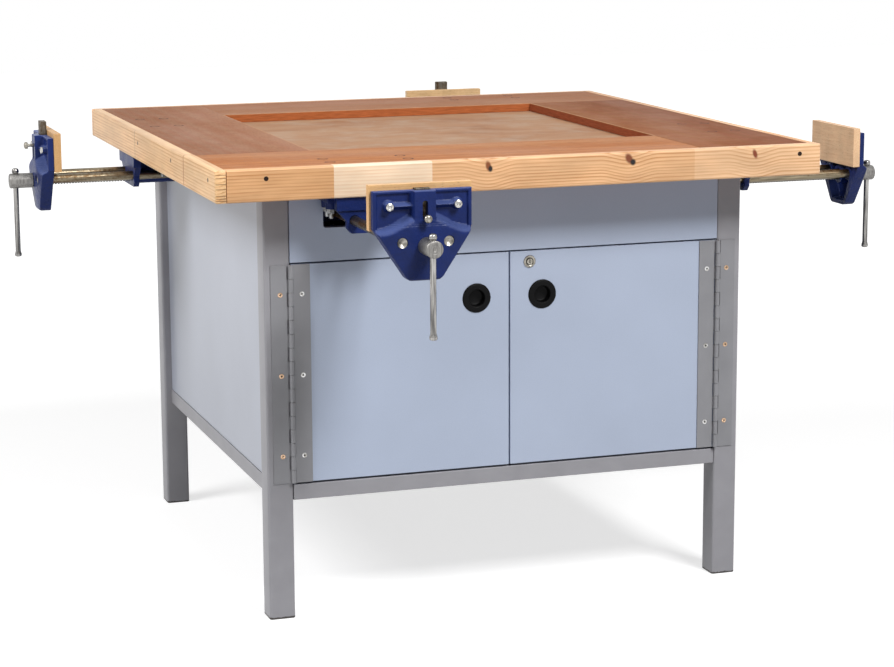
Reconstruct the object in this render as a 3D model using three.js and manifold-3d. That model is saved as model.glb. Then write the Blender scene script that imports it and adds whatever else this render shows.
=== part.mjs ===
// A square four-station workshop bench: a wooden top with a tool well, a steel frame with a two-door
// cabinet, and one woodworking vice on each side. Millimetres, +Z up, with the doors towards -Y.
// The origin is on the floor under the middle of the bench top.
import * as THREE from "three";
import { mergeVertices } from "three/addons/utils/BufferGeometryUtils.js";
import Module from "manifold-3d";

// Bench top
const TOP_SIZE = 1200;
const TOP_HEIGHT = 880;
const TOP_THICKNESS = 60;
const TOP_CORNER_RADIUS = 6;
const LIPPING_WIDTH = 20;
const LIPPING_EDGE_RADIUS = 4;
const WELL_SIZE = 710;
const WELL_DEPTH = 18;
const WELL_FLOOR_THICKNESS = 20;
const WELL_FLOOR_TONGUE = 10;

// Frame and cabinet
const FRAME_SIZE = 970;
const LEG_SIZE = 50;
const LEG_CORNER_RADIUS = 5;
const LEG_WALL = 3;
const RAIL_SIZE = 30;
const RAIL_WALL = 2;
const RAIL_BOTTOM = 232;
const TRAY_SHEET = 2;
const TRAY_INSET = 15;
const PANEL_THICKNESS = 18;
const PANEL_INSET = 17;
const DOOR_BOTTOM = 266;
const DOOR_TOP = 684;
const DOOR_MEETING_GAP = 3;
const FASCIA_BOTTOM = 687;

// Door furniture
const HINGE_LEAF_WIDTH = 38;
const HINGE_LEAF_THICKNESS = 2;
const HINGE_KNUCKLE_RADIUS = 5;
const HINGE_KNUCKLES = 16;
const HINGE_PIN_RADIUS = 2;
const HINGE_END_PLAY = 0.6;
const PULL_X = 67;
const PULL_Z = 598.5;
const PULL_FLANGE_RADIUS = 28.5;
const PULL_CUP_RADIUS = 19.5;
const PULL_RECESS_RADIUS = 16.5;
const PULL_RECESS_DEPTH = 15;
const LOCK_X = 41;
const LOCK_Z = 663.5;
const LOCK_FLANGE_RADIUS = 12;
const LOCK_BODY_RADIUS = 9.5;
const LOCK_PLUG_RADIUS = 6;
const LOCK_CAM_LENGTH = 38;

// Vices: each sits to the left of the person who works at its side
const VICE_OFFSET = { front: 296, right: 252, back: 296, left: 252 };
const VICE_OPENING = { front: 234.5, right: 204.5, back: 192.5, left: 144.5 };
const DOG_LIFT = { front: 0, right: 0, back: 25, left: 25 };
const SCREW_HEIGHT = 770;
const SCREW_RADIUS = 11;
const SCREW_BOSS_RADIUS = 15.5;
const SCREW_BOSS_END = 80;
const SCREW_TAIL = 440;
const BAR_PLANE = 67;
const BAR_RADIUS = 5.5;
const BAR_KNOB_RADIUS = 7.5;
const BAR_KNOB_HEIGHT = 11;
const BAR_LENGTH = 186;
const ROD_RADIUS = 9;
const ROD_SPACING = 84;
const ROD_HEIGHT = 776;
const ROD_TAIL = 460;
const TIE_THICKNESS = 10;
const CHEEK_WIDTH = 187;
const CHEEK_TOP = 875;
const CHEEK_BOTTOM = 795;
const CHEEK_THICKNESS = 15;
const JAW_WIDTH = 180;
const JAW_TOP = 865;
const JAW_BOTTOM = 708;
const JAW_PLATE = 12;
const JAW_BELLY = 31;
const JAW_HOUSING_WIDTH = 43;
const JAW_HOUSING_DEPTH = 27;
const JAW_HOLLOW_DEPTH = 20;
const CHEEK_SCREW_X = 62;
const CHEEK_SCREW_Z = 838.5;
const DOG_WIDTH = 28;
const DOG_THICKNESS = 12.6;
const DOG_BOTTOM = 808;
const DOG_TOP = 868;
const DOG_SCREW_Z = 818;
const CUTOUT_WIDTH = 146;
const CUTOUT_BOTTOM = 750;

// Clearances between pieces that touch, and round parts that turn or slide
const GAP = 0.3;
const RUNNING = 0.8;

// Sizes that follow from the ones above
const SIDES = ["front", "right", "back", "left"];
const TOP_HALF = TOP_SIZE / 2;
const TOP_UNDERSIDE = TOP_HEIGHT - TOP_THICKNESS;
const BOARD_EDGE = TOP_HALF - LIPPING_WIDTH;
const WELL_HALF = WELL_SIZE / 2;
const WELL_BASE = TOP_HEIGHT - WELL_DEPTH;
const FRAME_HALF = FRAME_SIZE / 2;
const INNER_HALF = FRAME_HALF - LEG_SIZE;
const RAIL_TOP = RAIL_BOTTOM + RAIL_SIZE;
const HINGE_AXIS_Y = -FRAME_HALF - HINGE_KNUCKLE_RADIUS;

const finish = (color, roughness, metalness) => ({ color, roughness, metalness });
const FRAME_GREY = finish("#85878b", 0.55, 0.1);
const PANEL_BLUE = finish("#a9b7cb", 0.45, 0);
const PINE = finish("#e2ac6e", 0.6, 0);
const RED_HARDWOOD = finish("#a4654a", 0.55, 0);
const WELL_WOOD = finish("#b98a66", 0.65, 0);
const BEECH = finish("#e0b57c", 0.55, 0);
const VICE_BLUE = finish("#26398c", 0.45, 0.1);
const STEEL = finish("#b5b0a6", 0.3, 0.9);
const ROD_STEEL = finish("#8a7f66", 0.4, 0.85);
const DOG_STEEL = finish("#5b5750", 0.5, 0.7);
const BLACK_PLASTIC = finish("#161719", 0.45, 0);
const CHROME = finish("#d0d2d4", 0.2, 1);

const wasm = await Module();
wasm.setup();

// A closed solid from a three.js geometry, whichever way round its faces were drawn.
function solid(geometry) {
  const bare = geometry.clone();
  bare.deleteAttribute("normal");
  bare.deleteAttribute("uv");
  const merged = mergeVertices(bare, 1e-4);
  const index = merged.index.array;
  const triangles = [];
  for (let i = 0; i < index.length; i += 3) {
    const [a, b, c] = [index[i], index[i + 1], index[i + 2]];
    if (a !== b && b !== c && c !== a) triangles.push([a, b, c]);
  }
  const vertProperties = merged.attributes.position.array;
  const build = (faces) =>
    new wasm.Manifold(new wasm.Mesh({ numProp: 3, vertProperties, triVerts: new Uint32Array(faces.flat()) }));
  const made = build(triangles);
  return made.volume() > 0 ? made : build(triangles.map(([a, b, c]) => [a, c, b]));
}

const join = (first, ...others) => others.reduce((sum, other) => sum.add(other), first);
const cut = (first, ...others) => others.reduce((rest, other) => rest.subtract(other), first);

function box([x0, x1], [y0, y1], [z0, z1]) {
  const geometry = new THREE.BoxGeometry(x1 - x0, y1 - y0, z1 - z0);
  return solid(geometry.translate((x0 + x1) / 2, (y0 + y1) / 2, (z0 + z1) / 2));
}

// A round bar along X, Y or Z, from one coordinate to another on its axis.
function bar(axis, radius, [from, to], [x, y, z], sides = 16) {
  const geometry = new THREE.CylinderGeometry(radius, radius, to - from, sides);
  const middle = (from + to) / 2;
  if (axis === "x") return solid(geometry.rotateZ(Math.PI / 2).translate(middle, y, z));
  if (axis === "z") return solid(geometry.rotateX(Math.PI / 2).translate(x, y, middle));
  return solid(geometry.translate(x, middle, z));
}

// A turned piece along Y: the profile lists radius and Y from one end of the axis to the other.
function turned(profile, sides = 20) {
  const points = profile.map(([radius, y]) => new THREE.Vector2(radius, y));
  return new THREE.LatheGeometry(points, sides);
}

const outline = (points) => new THREE.Shape(points.map(([x, y]) => new THREE.Vector2(x, y)));

function roundedRectangle([x0, x1], [y0, y1], radius) {
  const shape = new THREE.Shape();
  shape.absarc(x1 - radius, y1 - radius, radius, 0, Math.PI / 2);
  shape.absarc(x0 + radius, y1 - radius, radius, Math.PI / 2, Math.PI);
  shape.absarc(x0 + radius, y0 + radius, radius, Math.PI, Math.PI * 1.5);
  shape.absarc(x1 - radius, y0 + radius, radius, Math.PI * 1.5, Math.PI * 2);
  return shape;
}

const extruded = (shape, depth) =>
  new THREE.ExtrudeGeometry(shape, { depth, bevelEnabled: false, curveSegments: 3 });

// A shape drawn in plan, raised along Z.
const raised = (shape, [z0, z1]) => solid(extruded(shape, z1 - z0).translate(0, 0, z0));

// A shape drawn in X and Z, as seen from the front, given a thickness along Y.
const fronted = (shape, [y0, y1]) => solid(extruded(shape, y1 - y0).rotateX(Math.PI / 2).translate(0, y1, 0));

// A shape drawn in Y and Z, as seen from the side, drawn out along X.
const drawn = (shape, [x0, x1]) =>
  solid(extruded(shape, x1 - x0).rotateY(Math.PI / 2).rotateX(Math.PI / 2).translate(x0, 0, 0));

function add(parent, name, piece, look) {
  const { vertProperties, triVerts } = piece.getMesh();
  const geometry = new THREE.BufferGeometry();
  geometry.setAttribute("position", new THREE.BufferAttribute(vertProperties, 3));
  geometry.setIndex(new THREE.BufferAttribute(triVerts, 1));
  geometry.computeVertexNormals();
  const mesh = new THREE.Mesh(geometry, new THREE.MeshStandardMaterial(look));
  mesh.name = name;
  parent.add(mesh);
}

const bench = new THREE.Group();

// One turned group for each side, in which that side faces -Y.
const stations = SIDES.map((side, turn) => {
  const station = new THREE.Group();
  station.rotation.z = (turn * Math.PI) / 2;
  bench.add(station);
  return station;
});

// Bench top: each board and lipping runs past the end of the one before it, round the four sides.
function topBoard() {
  const board = box(
    [-BOARD_EDGE + GAP, WELL_HALF - GAP],
    [-BOARD_EDGE + GAP, -WELL_HALF],
    [TOP_UNDERSIDE, TOP_HEIGHT],
  );
  const groove = box(
    [-TOP_HALF, TOP_HALF],
    [-WELL_HALF - WELL_FLOOR_TONGUE - GAP, -WELL_HALF + 1],
    [WELL_BASE - WELL_FLOOR_THICKNESS - GAP, WELL_BASE + GAP],
  );
  return cut(board, groove);
}

function lipping() {
  const r = LIPPING_EDGE_RADIUS;
  const section = new THREE.Shape();
  section.moveTo(-BOARD_EDGE, TOP_UNDERSIDE);
  section.lineTo(-BOARD_EDGE, TOP_HEIGHT);
  section.absarc(-TOP_HALF + r, TOP_HEIGHT - r, r, Math.PI / 2, Math.PI);
  section.absarc(-TOP_HALF + r, TOP_UNDERSIDE + r, r, Math.PI, Math.PI * 1.5);
  const length = drawn(section, [-BOARD_EDGE + GAP, TOP_HALF]);
  const whole = roundedRectangle([-TOP_HALF, TOP_HALF], [-TOP_HALF, TOP_HALF], TOP_CORNER_RADIUS);
  return length.intersect(raised(whole, [TOP_UNDERSIDE - 1, TOP_HEIGHT + 1]));
}

SIDES.forEach((side, turn) => {
  add(stations[turn], `${side}_top_board`, topBoard(), RED_HARDWOOD);
  add(stations[turn], `${side}_lipping`, lipping(), PINE);
});
const wellReach = [-WELL_HALF - WELL_FLOOR_TONGUE, WELL_HALF + WELL_FLOOR_TONGUE];
add(bench, "well_floor", box(wellReach, wellReach, [WELL_BASE - WELL_FLOOR_THICKNESS, WELL_BASE]), WELL_WOOD);

// Legs: square tubes with a closed foot, two to each of the front and back
function leg() {
  const reach = [INNER_HALF, FRAME_HALF];
  const tube = raised(roundedRectangle(reach, reach, LEG_CORNER_RADIUS), [0, TOP_UNDERSIDE - GAP]);
  const bore = [INNER_HALF + LEG_WALL, FRAME_HALF - LEG_WALL];
  return cut(tube, box(bore, bore, [LEG_WALL, TOP_UNDERSIDE + 1]));
}

["back_right", "back_left", "front_left", "front_right"].forEach((corner, turn) => {
  const group = new THREE.Group();
  group.rotation.z = (turn * Math.PI) / 2;
  bench.add(group);
  add(group, `${corner}_leg`, leg(), FRAME_GREY);
});

// Bottom rails, flush with the front and back of the legs
function rail(y0, y1) {
  const span = [-INNER_HALF + GAP, INNER_HALF - GAP];
  const tube = box(span, [y0, y1], [RAIL_BOTTOM, RAIL_TOP]);
  const bore = box(
    [-FRAME_HALF, FRAME_HALF],
    [y0 + RAIL_WALL, y1 - RAIL_WALL],
    [RAIL_BOTTOM + RAIL_WALL, RAIL_TOP - RAIL_WALL],
  );
  return cut(tube, bore);
}

add(bench, "front_rail", rail(-FRAME_HALF, -FRAME_HALF + RAIL_SIZE), FRAME_GREY);
add(bench, "back_rail", rail(FRAME_HALF - RAIL_SIZE, FRAME_HALF), FRAME_GREY);

// Cabinet floor: a sheet steel tray that is folded down at both sides
function floorTray() {
  const side = FRAME_HALF - TRAY_INSET;
  const between = INNER_HALF - GAP;
  const reach = FRAME_HALF - RAIL_SIZE - GAP;
  const sheet = [RAIL_TOP - TRAY_SHEET, RAIL_TOP];
  const folds = [-side, side - TRAY_SHEET].map((x) =>
    box([x, x + TRAY_SHEET], [-between, between], [RAIL_BOTTOM, RAIL_TOP]),
  );
  const acrossSides = box([-side, side], [-between, between], sheet);
  const acrossEnds = box([-between, between], [-reach, reach], sheet);
  return join(acrossSides, acrossEnds, ...folds);
}

add(bench, "cabinet_floor", floorTray(), FRAME_GREY);

// Cabinet walls, each notched at the top where its vice passes under the bench top
function wall(side, outerFace, bottom) {
  const span = INNER_HALF - GAP;
  const board = box([-span, span], [-outerFace, -outerFace + PANEL_THICKNESS], [bottom, TOP_UNDERSIDE - GAP]);
  const middle = -VICE_OFFSET[side];
  const notch = roundedRectangle(
    [middle - CUTOUT_WIDTH / 2, middle + CUTOUT_WIDTH / 2],
    [CUTOUT_BOTTOM, TOP_UNDERSIDE + 20],
    6,
  );
  return cut(board, fronted(notch, [-FRAME_HALF - 1, -INNER_HALF]));
}

const panelFace = FRAME_HALF - PANEL_INSET;
add(stations[0], "fascia_panel", wall("front", FRAME_HALF, FASCIA_BOTTOM), PANEL_BLUE);
["right", "back", "left"].forEach((side, i) => {
  add(stations[i + 1], `${side}_panel`, wall(side, panelFace, RAIL_TOP + GAP), PANEL_BLUE);
});

// Doors: hand is -1 for the left door and +1 for the right one
function door(hand) {
  const edges = [hand * (INNER_HALF - 1.5), (hand * DOOR_MEETING_GAP) / 2].sort((a, b) => a - b);
  const faces = [-FRAME_HALF, -FRAME_HALF + PANEL_THICKNESS];
  const through = [faces[0] - 1, faces[1] + 1];
  const board = box(edges, faces, [DOOR_BOTTOM, DOOR_TOP]);
  const pullHole = bar("y", PULL_CUP_RADIUS + GAP, through, [hand * PULL_X, 0, PULL_Z], 24);
  if (hand < 0) return cut(board, pullHole);
  return cut(board, pullHole, bar("y", LOCK_BODY_RADIUS + GAP, through, [LOCK_X, 0, LOCK_Z]));
}

// Finger pull: a flanged cup let into the door
function fingerPull(hand) {
  const face = -FRAME_HALF - GAP;
  const cup = turned(
    [
      [0, face + PULL_RECESS_DEPTH - 2.5],
      [PULL_RECESS_RADIUS - 2, face + PULL_RECESS_DEPTH - 2.5],
      [PULL_RECESS_RADIUS, face - 1],
      [PULL_RECESS_RADIUS + 2, face - 2.5],
      [PULL_FLANGE_RADIUS - 3, face - 2.5],
      [PULL_FLANGE_RADIUS, face],
      [PULL_CUP_RADIUS, face],
      [PULL_CUP_RADIUS, face + PULL_RECESS_DEPTH],
      [0, face + PULL_RECESS_DEPTH],
    ],
    24,
  );
  return solid(cup.translate(hand * PULL_X, 0, PULL_Z));
}

// Piano hinge: knuckles of the two leaves take turns along one pin
const knucklePitch = (DOOR_TOP - DOOR_BOTTOM) / HINGE_KNUCKLES;

function hingeLeaf(hand, isFrameLeaf) {
  const away = isFrameLeaf ? hand : -hand;
  const axisX = hand * INNER_HALF;
  const across = (near, far) => [axisX + away * near, axisX + away * far].sort((a, b) => a - b);
  const faces = [-FRAME_HALF - GAP - HINGE_LEAF_THICKNESS, -FRAME_HALF - GAP];
  let leaf = box(across(HINGE_KNUCKLE_RADIUS + RUNNING, HINGE_LEAF_WIDTH), faces, [DOOR_BOTTOM, DOOR_TOP]);
  for (let i = isFrameLeaf ? 0 : 1; i < HINGE_KNUCKLES; i += 2) {
    const start = DOOR_BOTTOM + i * knucklePitch + HINGE_END_PLAY / 2;
    const length = [start, start + knucklePitch - HINGE_END_PLAY];
    const tab = box(across(0, HINGE_KNUCKLE_RADIUS + 2), faces, length);
    leaf = join(leaf, tab, bar("z", HINGE_KNUCKLE_RADIUS - GAP, length, [axisX, HINGE_AXIS_Y, 0], 10));
  }
  const bore = [DOOR_BOTTOM - 1, DOOR_TOP + 1];
  return cut(leaf, bar("z", HINGE_PIN_RADIUS + 0.5, bore, [axisX, HINGE_AXIS_Y, 0], 6));
}

[-1, 1].forEach((hand) => {
  const side = hand < 0 ? "left" : "right";
  const pin = bar("z", HINGE_PIN_RADIUS, [DOOR_BOTTOM, DOOR_TOP], [hand * INNER_HALF, HINGE_AXIS_Y, 0], 6);
  add(bench, `${side}_door`, door(hand), PANEL_BLUE);
  add(bench, `${side}_finger_pull`, fingerPull(hand), BLACK_PLASTIC);
  add(bench, `${side}_hinge_frame_leaf`, hingeLeaf(hand, true), FRAME_GREY);
  add(bench, `${side}_hinge_door_leaf`, hingeLeaf(hand, false), FRAME_GREY);
  add(bench, `${side}_hinge_pin`, pin, STEEL);
});

// Cam lock in the right door: a flanged barrel, and a plug whose cam lies flat behind the door
const lockFace = -FRAME_HALF - GAP;
const lockBack = -FRAME_HALF + PANEL_THICKNESS + 1.5;

function lockBarrel() {
  const flange = bar("y", LOCK_FLANGE_RADIUS, [lockFace - 2, lockFace], [LOCK_X, 0, LOCK_Z], 20);
  const body = bar("y", LOCK_BODY_RADIUS, [lockFace - 1, lockBack], [LOCK_X, 0, LOCK_Z]);
  const bore = bar("y", LOCK_PLUG_RADIUS + RUNNING, [lockFace - 5, lockBack + 5], [LOCK_X, 0, LOCK_Z]);
  return cut(join(flange, body), bore);
}

function lockPlug() {
  const plug = bar("y", LOCK_PLUG_RADIUS, [lockFace - 2.5, lockBack + 3.5], [LOCK_X, 0, LOCK_Z]);
  const cam = roundedRectangle([LOCK_X - 9, LOCK_X + LOCK_CAM_LENGTH], [LOCK_Z - 8, LOCK_Z + 8], 7.5);
  const keyway = box([LOCK_X - 1, LOCK_X + 1], [lockFace - 5, lockFace + 4], [LOCK_Z - 4, LOCK_Z + 4]);
  return cut(join(plug, fronted(cam, [lockBack + GAP, lockBack + 3.3])), keyway);
}

add(bench, "lock_barrel", lockBarrel(), CHROME);
add(bench, "lock_plug", lockPlug(), CHROME);

// Fixed half of a vice: a casting bolted up under the bench top, in a frame where Y runs in from the
// edge of the top and X is measured from the middle of the vice
const rodX = [-ROD_SPACING / 2, ROD_SPACING / 2];

function viceBody() {
  const underTop = [TOP_UNDERSIDE - 12, TOP_UNDERSIDE - GAP];
  const wideFlange = box([-90, 90], [22, 113], underTop);
  const narrowFlange = box([-68, 68], [112, 200], underTop);
  const apron = box([-77, 77], [8, 24], [795, underTop[1]]);
  const bulkhead = outline([
    [-77, 797],
    [-57, 775],
    [-57, 762],
    [-48, 752],
    [48, 752],
    [57, 762],
    [57, 775],
    [77, 797],
  ]);
  const nutBlock = box([-62, 62], [176, 200], [752, underTop[1]]);
  const tunnel = bar("y", 16.5, [18, 180], [0, 0, SCREW_HEIGHT]);
  const rib = box([-5, 5], [18, 180], [SCREW_HEIGHT, underTop[1]]);
  const web = fronted(bulkhead, [12, 24]);
  const casting = join(wideFlange, narrowFlange, apron, web, nutBlock, tunnel, rib);
  const rodBores = rodX.map((x) => bar("y", ROD_RADIUS + 0.5, [0, 220], [x, 0, ROD_HEIGHT]));
  return cut(casting, bar("y", SCREW_RADIUS + RUNNING, [0, 220], [0, 0, SCREW_HEIGHT], 20), ...rodBores);
}

// Moving half of a vice, in a frame where Y = 0 is the gripping face of its wooden cheek
const jawBack = -CHEEK_THICKNESS - GAP;

function jawCasting() {
  const half = JAW_WIDTH / 2;
  const housingHalf = JAW_HOUSING_WIDTH / 2;
  const forward = (depth) => [jawBack - depth, jawBack];
  const plate = box([-half, half], forward(JAW_PLATE), [799, JAW_TOP]);
  const sides = (hand, near, far) => [hand * near, hand * far].sort((a, b) => a - b);
  const recesses = [-1, 1].map((hand) =>
    box(sides(hand, 24, half - 8), [jawBack - 20, jawBack - JAW_PLATE + 4], [806, JAW_TOP - 7]),
  );
  const housing = box([-housingHalf, housingHalf], forward(JAW_HOUSING_DEPTH), [800, JAW_TOP + 1]);
  const arms = [-1, 1].flatMap((hand) => [
    box(sides(hand, 20, CHEEK_SCREW_X), forward(22), [CHEEK_SCREW_Z - 5, CHEEK_SCREW_Z + 4]),
    bar("y", 9, forward(20), [hand * CHEEK_SCREW_X, 0, CHEEK_SCREW_Z], 12),
  ]);

  // The belly fills the shield's lower part: its front, side and plan views, each through the others
  const shield = outline([
    [-half, 799],
    [-33, JAW_BOTTOM + 6],
    [-24, JAW_BOTTOM],
    [24, JAW_BOTTOM],
    [33, JAW_BOTTOM + 6],
    [half, 799],
    [half, 804],
    [housingHalf, 822],
    [-housingHalf, 822],
    [-half, 804],
  ]);
  const sideView = outline([
    [jawBack, JAW_BOTTOM],
    [jawBack - 22, JAW_BOTTOM],
    [jawBack - 26, JAW_BOTTOM + 5],
    [jawBack - JAW_BELLY + 2, JAW_BOTTOM + 36],
    [jawBack - JAW_BELLY, JAW_BOTTOM + 55],
    [jawBack - JAW_BELLY, 792],
    [jawBack - JAW_BELLY + 4, 804],
    [jawBack - 16, 822],
    [jawBack, 822],
  ]);
  const planView = outline([
    [-half, jawBack],
    [-half, jawBack - 23],
    [-50, jawBack - JAW_BELLY],
    [50, jawBack - JAW_BELLY],
    [half, jawBack - 23],
    [half, jawBack],
  ]);
  const profile = drawn(sideView, [-half, half]).intersect(raised(planView, [JAW_BOTTOM - 1, 823]));
  const belly = fronted(shield, forward(JAW_BELLY)).intersect(profile);
  const hollow = outline([
    [-58, 790],
    [-27, JAW_BOTTOM + 10],
    [27, JAW_BOTTOM + 10],
    [58, 790],
  ]);
  const screwBoss = bar("y", 19, forward(JAW_BELLY - 2), [0, 0, SCREW_HEIGHT]);
  const rodBosses = rodX.map((x) => bar("y", 15, forward(JAW_BELLY - 2), [x, 0, ROD_HEIGHT]));
  const shell = cut(belly, fronted(hollow, [jawBack - JAW_HOLLOW_DEPTH, jawBack + 1]));
  const casting = join(cut(plate, ...recesses), housing, ...arms, shell, screwBoss, ...rodBosses);

  const rodBores = rodX.map((x) => bar("y", ROD_RADIUS + GAP, forward(60), [x, 0, ROD_HEIGHT]));
  const screwBore = bar("y", SCREW_RADIUS + RUNNING, forward(60), [0, 0, SCREW_HEIGHT], 20);
  const dogSlot = box(
    [-DOG_WIDTH / 2 - 0.5, DOG_WIDTH / 2 + 0.5],
    [jawBack - DOG_THICKNESS - 1, jawBack + 1],
    [DOG_BOTTOM - 1, JAW_TOP + 5],
  );
  const screwSlot = roundedRectangle([-5, 5], [DOG_SCREW_Z - 5, DOG_SCREW_Z + 30], 4.9);
  return cut(casting, ...rodBores, screwBore, dogSlot, fronted(screwSlot, forward(60)));
}

// Two guide rods, tied together at the back so that they slide as one
function guideRods() {
  const tie = roundedRectangle([-58, 58], [ROD_HEIGHT - 17, ROD_HEIGHT + 17], 8);
  const length = [jawBack - JAW_BELLY + 2, ROD_TAIL];
  const rods = rodX.map((x) => bar("y", ROD_RADIUS, length, [x, 0, ROD_HEIGHT]));
  return join(fronted(tie, [ROD_TAIL - TIE_THICKNESS, ROD_TAIL]), ...rods);
}

function viceScrew() {
  const bossEnd = -CHEEK_THICKNESS - SCREW_BOSS_END;
  const bossStart = jawBack - JAW_BELLY - 0.5;
  const profile = turned([
    [0, bossEnd],
    [SCREW_BOSS_RADIUS - 1.5, bossEnd],
    [SCREW_BOSS_RADIUS, bossEnd + 1.5],
    [SCREW_BOSS_RADIUS, bossStart],
    [SCREW_RADIUS, bossStart],
    [SCREW_RADIUS, SCREW_TAIL - 3],
    [SCREW_RADIUS - 3, SCREW_TAIL],
    [0, SCREW_TAIL],
  ]);
  const barHole = bar("z", BAR_RADIUS + 0.6, [-50, 50], [0, -CHEEK_THICKNESS - BAR_PLANE, 0], 12);
  return cut(solid(profile), barHole).translate([0, 0, SCREW_HEIGHT]);
}

// Tommy bar, hanging with its upper knob on the boss of the screw
function tommyBar() {
  const knob = BAR_KNOB_RADIUS;
  const bottom = SCREW_HEIGHT + SCREW_BOSS_RADIUS + GAP + BAR_KNOB_HEIGHT - BAR_LENGTH;
  const profile = [
    [0, 0],
    [knob - 2.5, 0],
    [knob, 2.5],
    [knob, BAR_KNOB_HEIGHT - 2.5],
    [BAR_RADIUS, BAR_KNOB_HEIGHT],
    [BAR_RADIUS, BAR_LENGTH - BAR_KNOB_HEIGHT],
    [knob, BAR_LENGTH - BAR_KNOB_HEIGHT + 2.5],
    [knob, BAR_LENGTH - 2.5],
    [knob - 2.5, BAR_LENGTH],
    [0, BAR_LENGTH],
  ];
  const upright = turned(profile, 12).rotateX(Math.PI / 2);
  return solid(upright.translate(0, -CHEEK_THICKNESS - BAR_PLANE, bottom));
}

// Dog: a flat steel bar with the thumb screw that clamps it in its slot
function viceDog() {
  const front = jawBack - 0.5 - DOG_THICKNESS;
  const blade = box([-DOG_WIDTH / 2, DOG_WIDTH / 2], [front, jawBack - 0.5], [DOG_BOTTOM, DOG_TOP]);
  const shank = bar("y", 3.2, [jawBack - 44, front + 1], [0, 0, DOG_SCREW_Z], 10);
  const head = bar("y", 6.5, [jawBack - 47, jawBack - 39], [0, 0, DOG_SCREW_Z], 12);
  return join(blade, shank, head);
}

SIDES.forEach((side, turn) => {
  const vice = new THREE.Group();
  vice.position.set(-VICE_OFFSET[side], -TOP_HALF, 0);
  stations[turn].add(vice);
  const moving = new THREE.Group();
  moving.position.y = -VICE_OPENING[side];
  vice.add(moving);
  const cheekHalf = CHEEK_WIDTH / 2;
  const cheek = box([-cheekHalf, cheekHalf], [-CHEEK_THICKNESS, 0], [CHEEK_BOTTOM, CHEEK_TOP]);
  add(vice, `${side}_vice_body`, viceBody(), VICE_BLUE);
  add(moving, `${side}_vice_jaw`, jawCasting(), VICE_BLUE);
  add(moving, `${side}_vice_cheek`, cheek, BEECH);
  add(moving, `${side}_vice_guide_rods`, guideRods(), ROD_STEEL);
  add(moving, `${side}_vice_screw`, viceScrew(), STEEL);
  add(moving, `${side}_vice_tommy_bar`, tommyBar(), STEEL);
  add(moving, `${side}_vice_dog`, viceDog().translate([0, 0, DOG_LIFT[side]]), DOG_STEEL);
});

export default bench;
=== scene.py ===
"""Looks of a square four-station workshop bench with a two-door cabinet and four woodworking vices.

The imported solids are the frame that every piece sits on. Shapes are worked out in millimetres, in a view
where the side that they belong to faces -Y, and are then turned to their side and written in metres.
"""

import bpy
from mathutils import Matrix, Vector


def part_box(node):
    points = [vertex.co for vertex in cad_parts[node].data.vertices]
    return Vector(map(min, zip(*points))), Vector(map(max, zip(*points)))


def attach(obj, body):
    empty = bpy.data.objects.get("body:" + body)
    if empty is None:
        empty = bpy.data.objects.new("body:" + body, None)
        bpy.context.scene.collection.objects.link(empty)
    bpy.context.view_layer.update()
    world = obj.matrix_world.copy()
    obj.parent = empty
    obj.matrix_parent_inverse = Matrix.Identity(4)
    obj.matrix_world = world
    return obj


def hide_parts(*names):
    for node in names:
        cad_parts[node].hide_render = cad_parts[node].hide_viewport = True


bl_info = {
    "name": "Workshop bench looks",
    "version": (1, 0, 0),
    "blender": (4, 5, 0),
    "location": "View3D > Sidebar > Bench",
    "description": "Surfaces, fittings and studio of a four-station workshop bench with a cabinet",
    "category": "Object",
}

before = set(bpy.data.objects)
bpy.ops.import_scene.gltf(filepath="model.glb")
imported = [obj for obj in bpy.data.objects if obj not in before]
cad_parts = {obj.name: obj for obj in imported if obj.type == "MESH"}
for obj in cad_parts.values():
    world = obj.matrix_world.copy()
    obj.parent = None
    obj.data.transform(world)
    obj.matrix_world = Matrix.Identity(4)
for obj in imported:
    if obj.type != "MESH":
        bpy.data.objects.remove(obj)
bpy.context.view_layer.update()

import math

import bmesh
import bpy
import numpy as np
from mathutils import Matrix

MM = 0.001
SIDES = ("front", "right", "back", "left")
HANDS = {"left": -1, "right": 1}
OUT, UP, DOWN = (0, -1, 0), (0, 0, 1), (0, 0, -1)

# The camera stands where the photograph was taken from
CAMERA_PLACE = (-1.5882, -4.8495, 1.4221)
CAMERA_YAW = 18.51
CAMERA_PITCH = 10.93
CAMERA_ROLL = 0.30
CAMERA_LENS = 98.77


def hex_colour(text):
    """Linear red, green, blue and alpha of an sRGB hex colour; a linear colour stays as it is."""
    if not isinstance(text, str):
        return tuple(text)
    srgb = np.array([int(text[i:i + 2], 16) for i in (1, 3, 5)]) / 255
    linear = np.where(srgb <= 0.04045, srgb / 12.92, ((srgb + 0.055) / 1.055) ** 2.4)
    return (*linear.tolist(), 1.0)


def station_turn(side):
    """Matrix that turns points of the front side to another side, by quarter turns about Z."""
    angle = SIDES.index(side) * math.pi / 2
    c, s = round(math.cos(angle)), round(math.sin(angle))
    return np.array([[c, -s, 0], [s, c, 0], [0, 0, 1]], float)


def local_box(node, side="front"):
    """Lowest and highest corner of a CAD node in mm, as seen with its side facing -Y."""
    corners = np.array([list(corner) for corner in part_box(node)]) / MM @ station_turn(side)
    return corners.min(0), corners.max(0)


def middle_of(node, side="front"):
    """Middle of a CAD node's box in mm, as seen with its side facing -Y."""
    low, high = local_box(node, side)
    return (low + high) / 2


# Places in mm that several pieces share
TOP_EDGE, TOP_FACE = local_box("front_lipping")[0][1], local_box("front_lipping")[1][2]
WELL_HALF = 355.0
SCREW_Z = middle_of("front_vice_screw")[2]
ROD_X, ROD_Z = 42.0, middle_of("front_vice_guide_rods")[2]
CHEEK_SCREW = (62.0, 838.5)
JAW_BACK = 15.3  # behind the gripping face, by the cheek and its clearance


def vice_place(side):
    """Middle of a vice across its side, and the plane of its cheek's gripping face."""
    low, high = local_box(f"{side}_vice_cheek", side)
    return (low[0] + high[0]) / 2, high[1]


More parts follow.
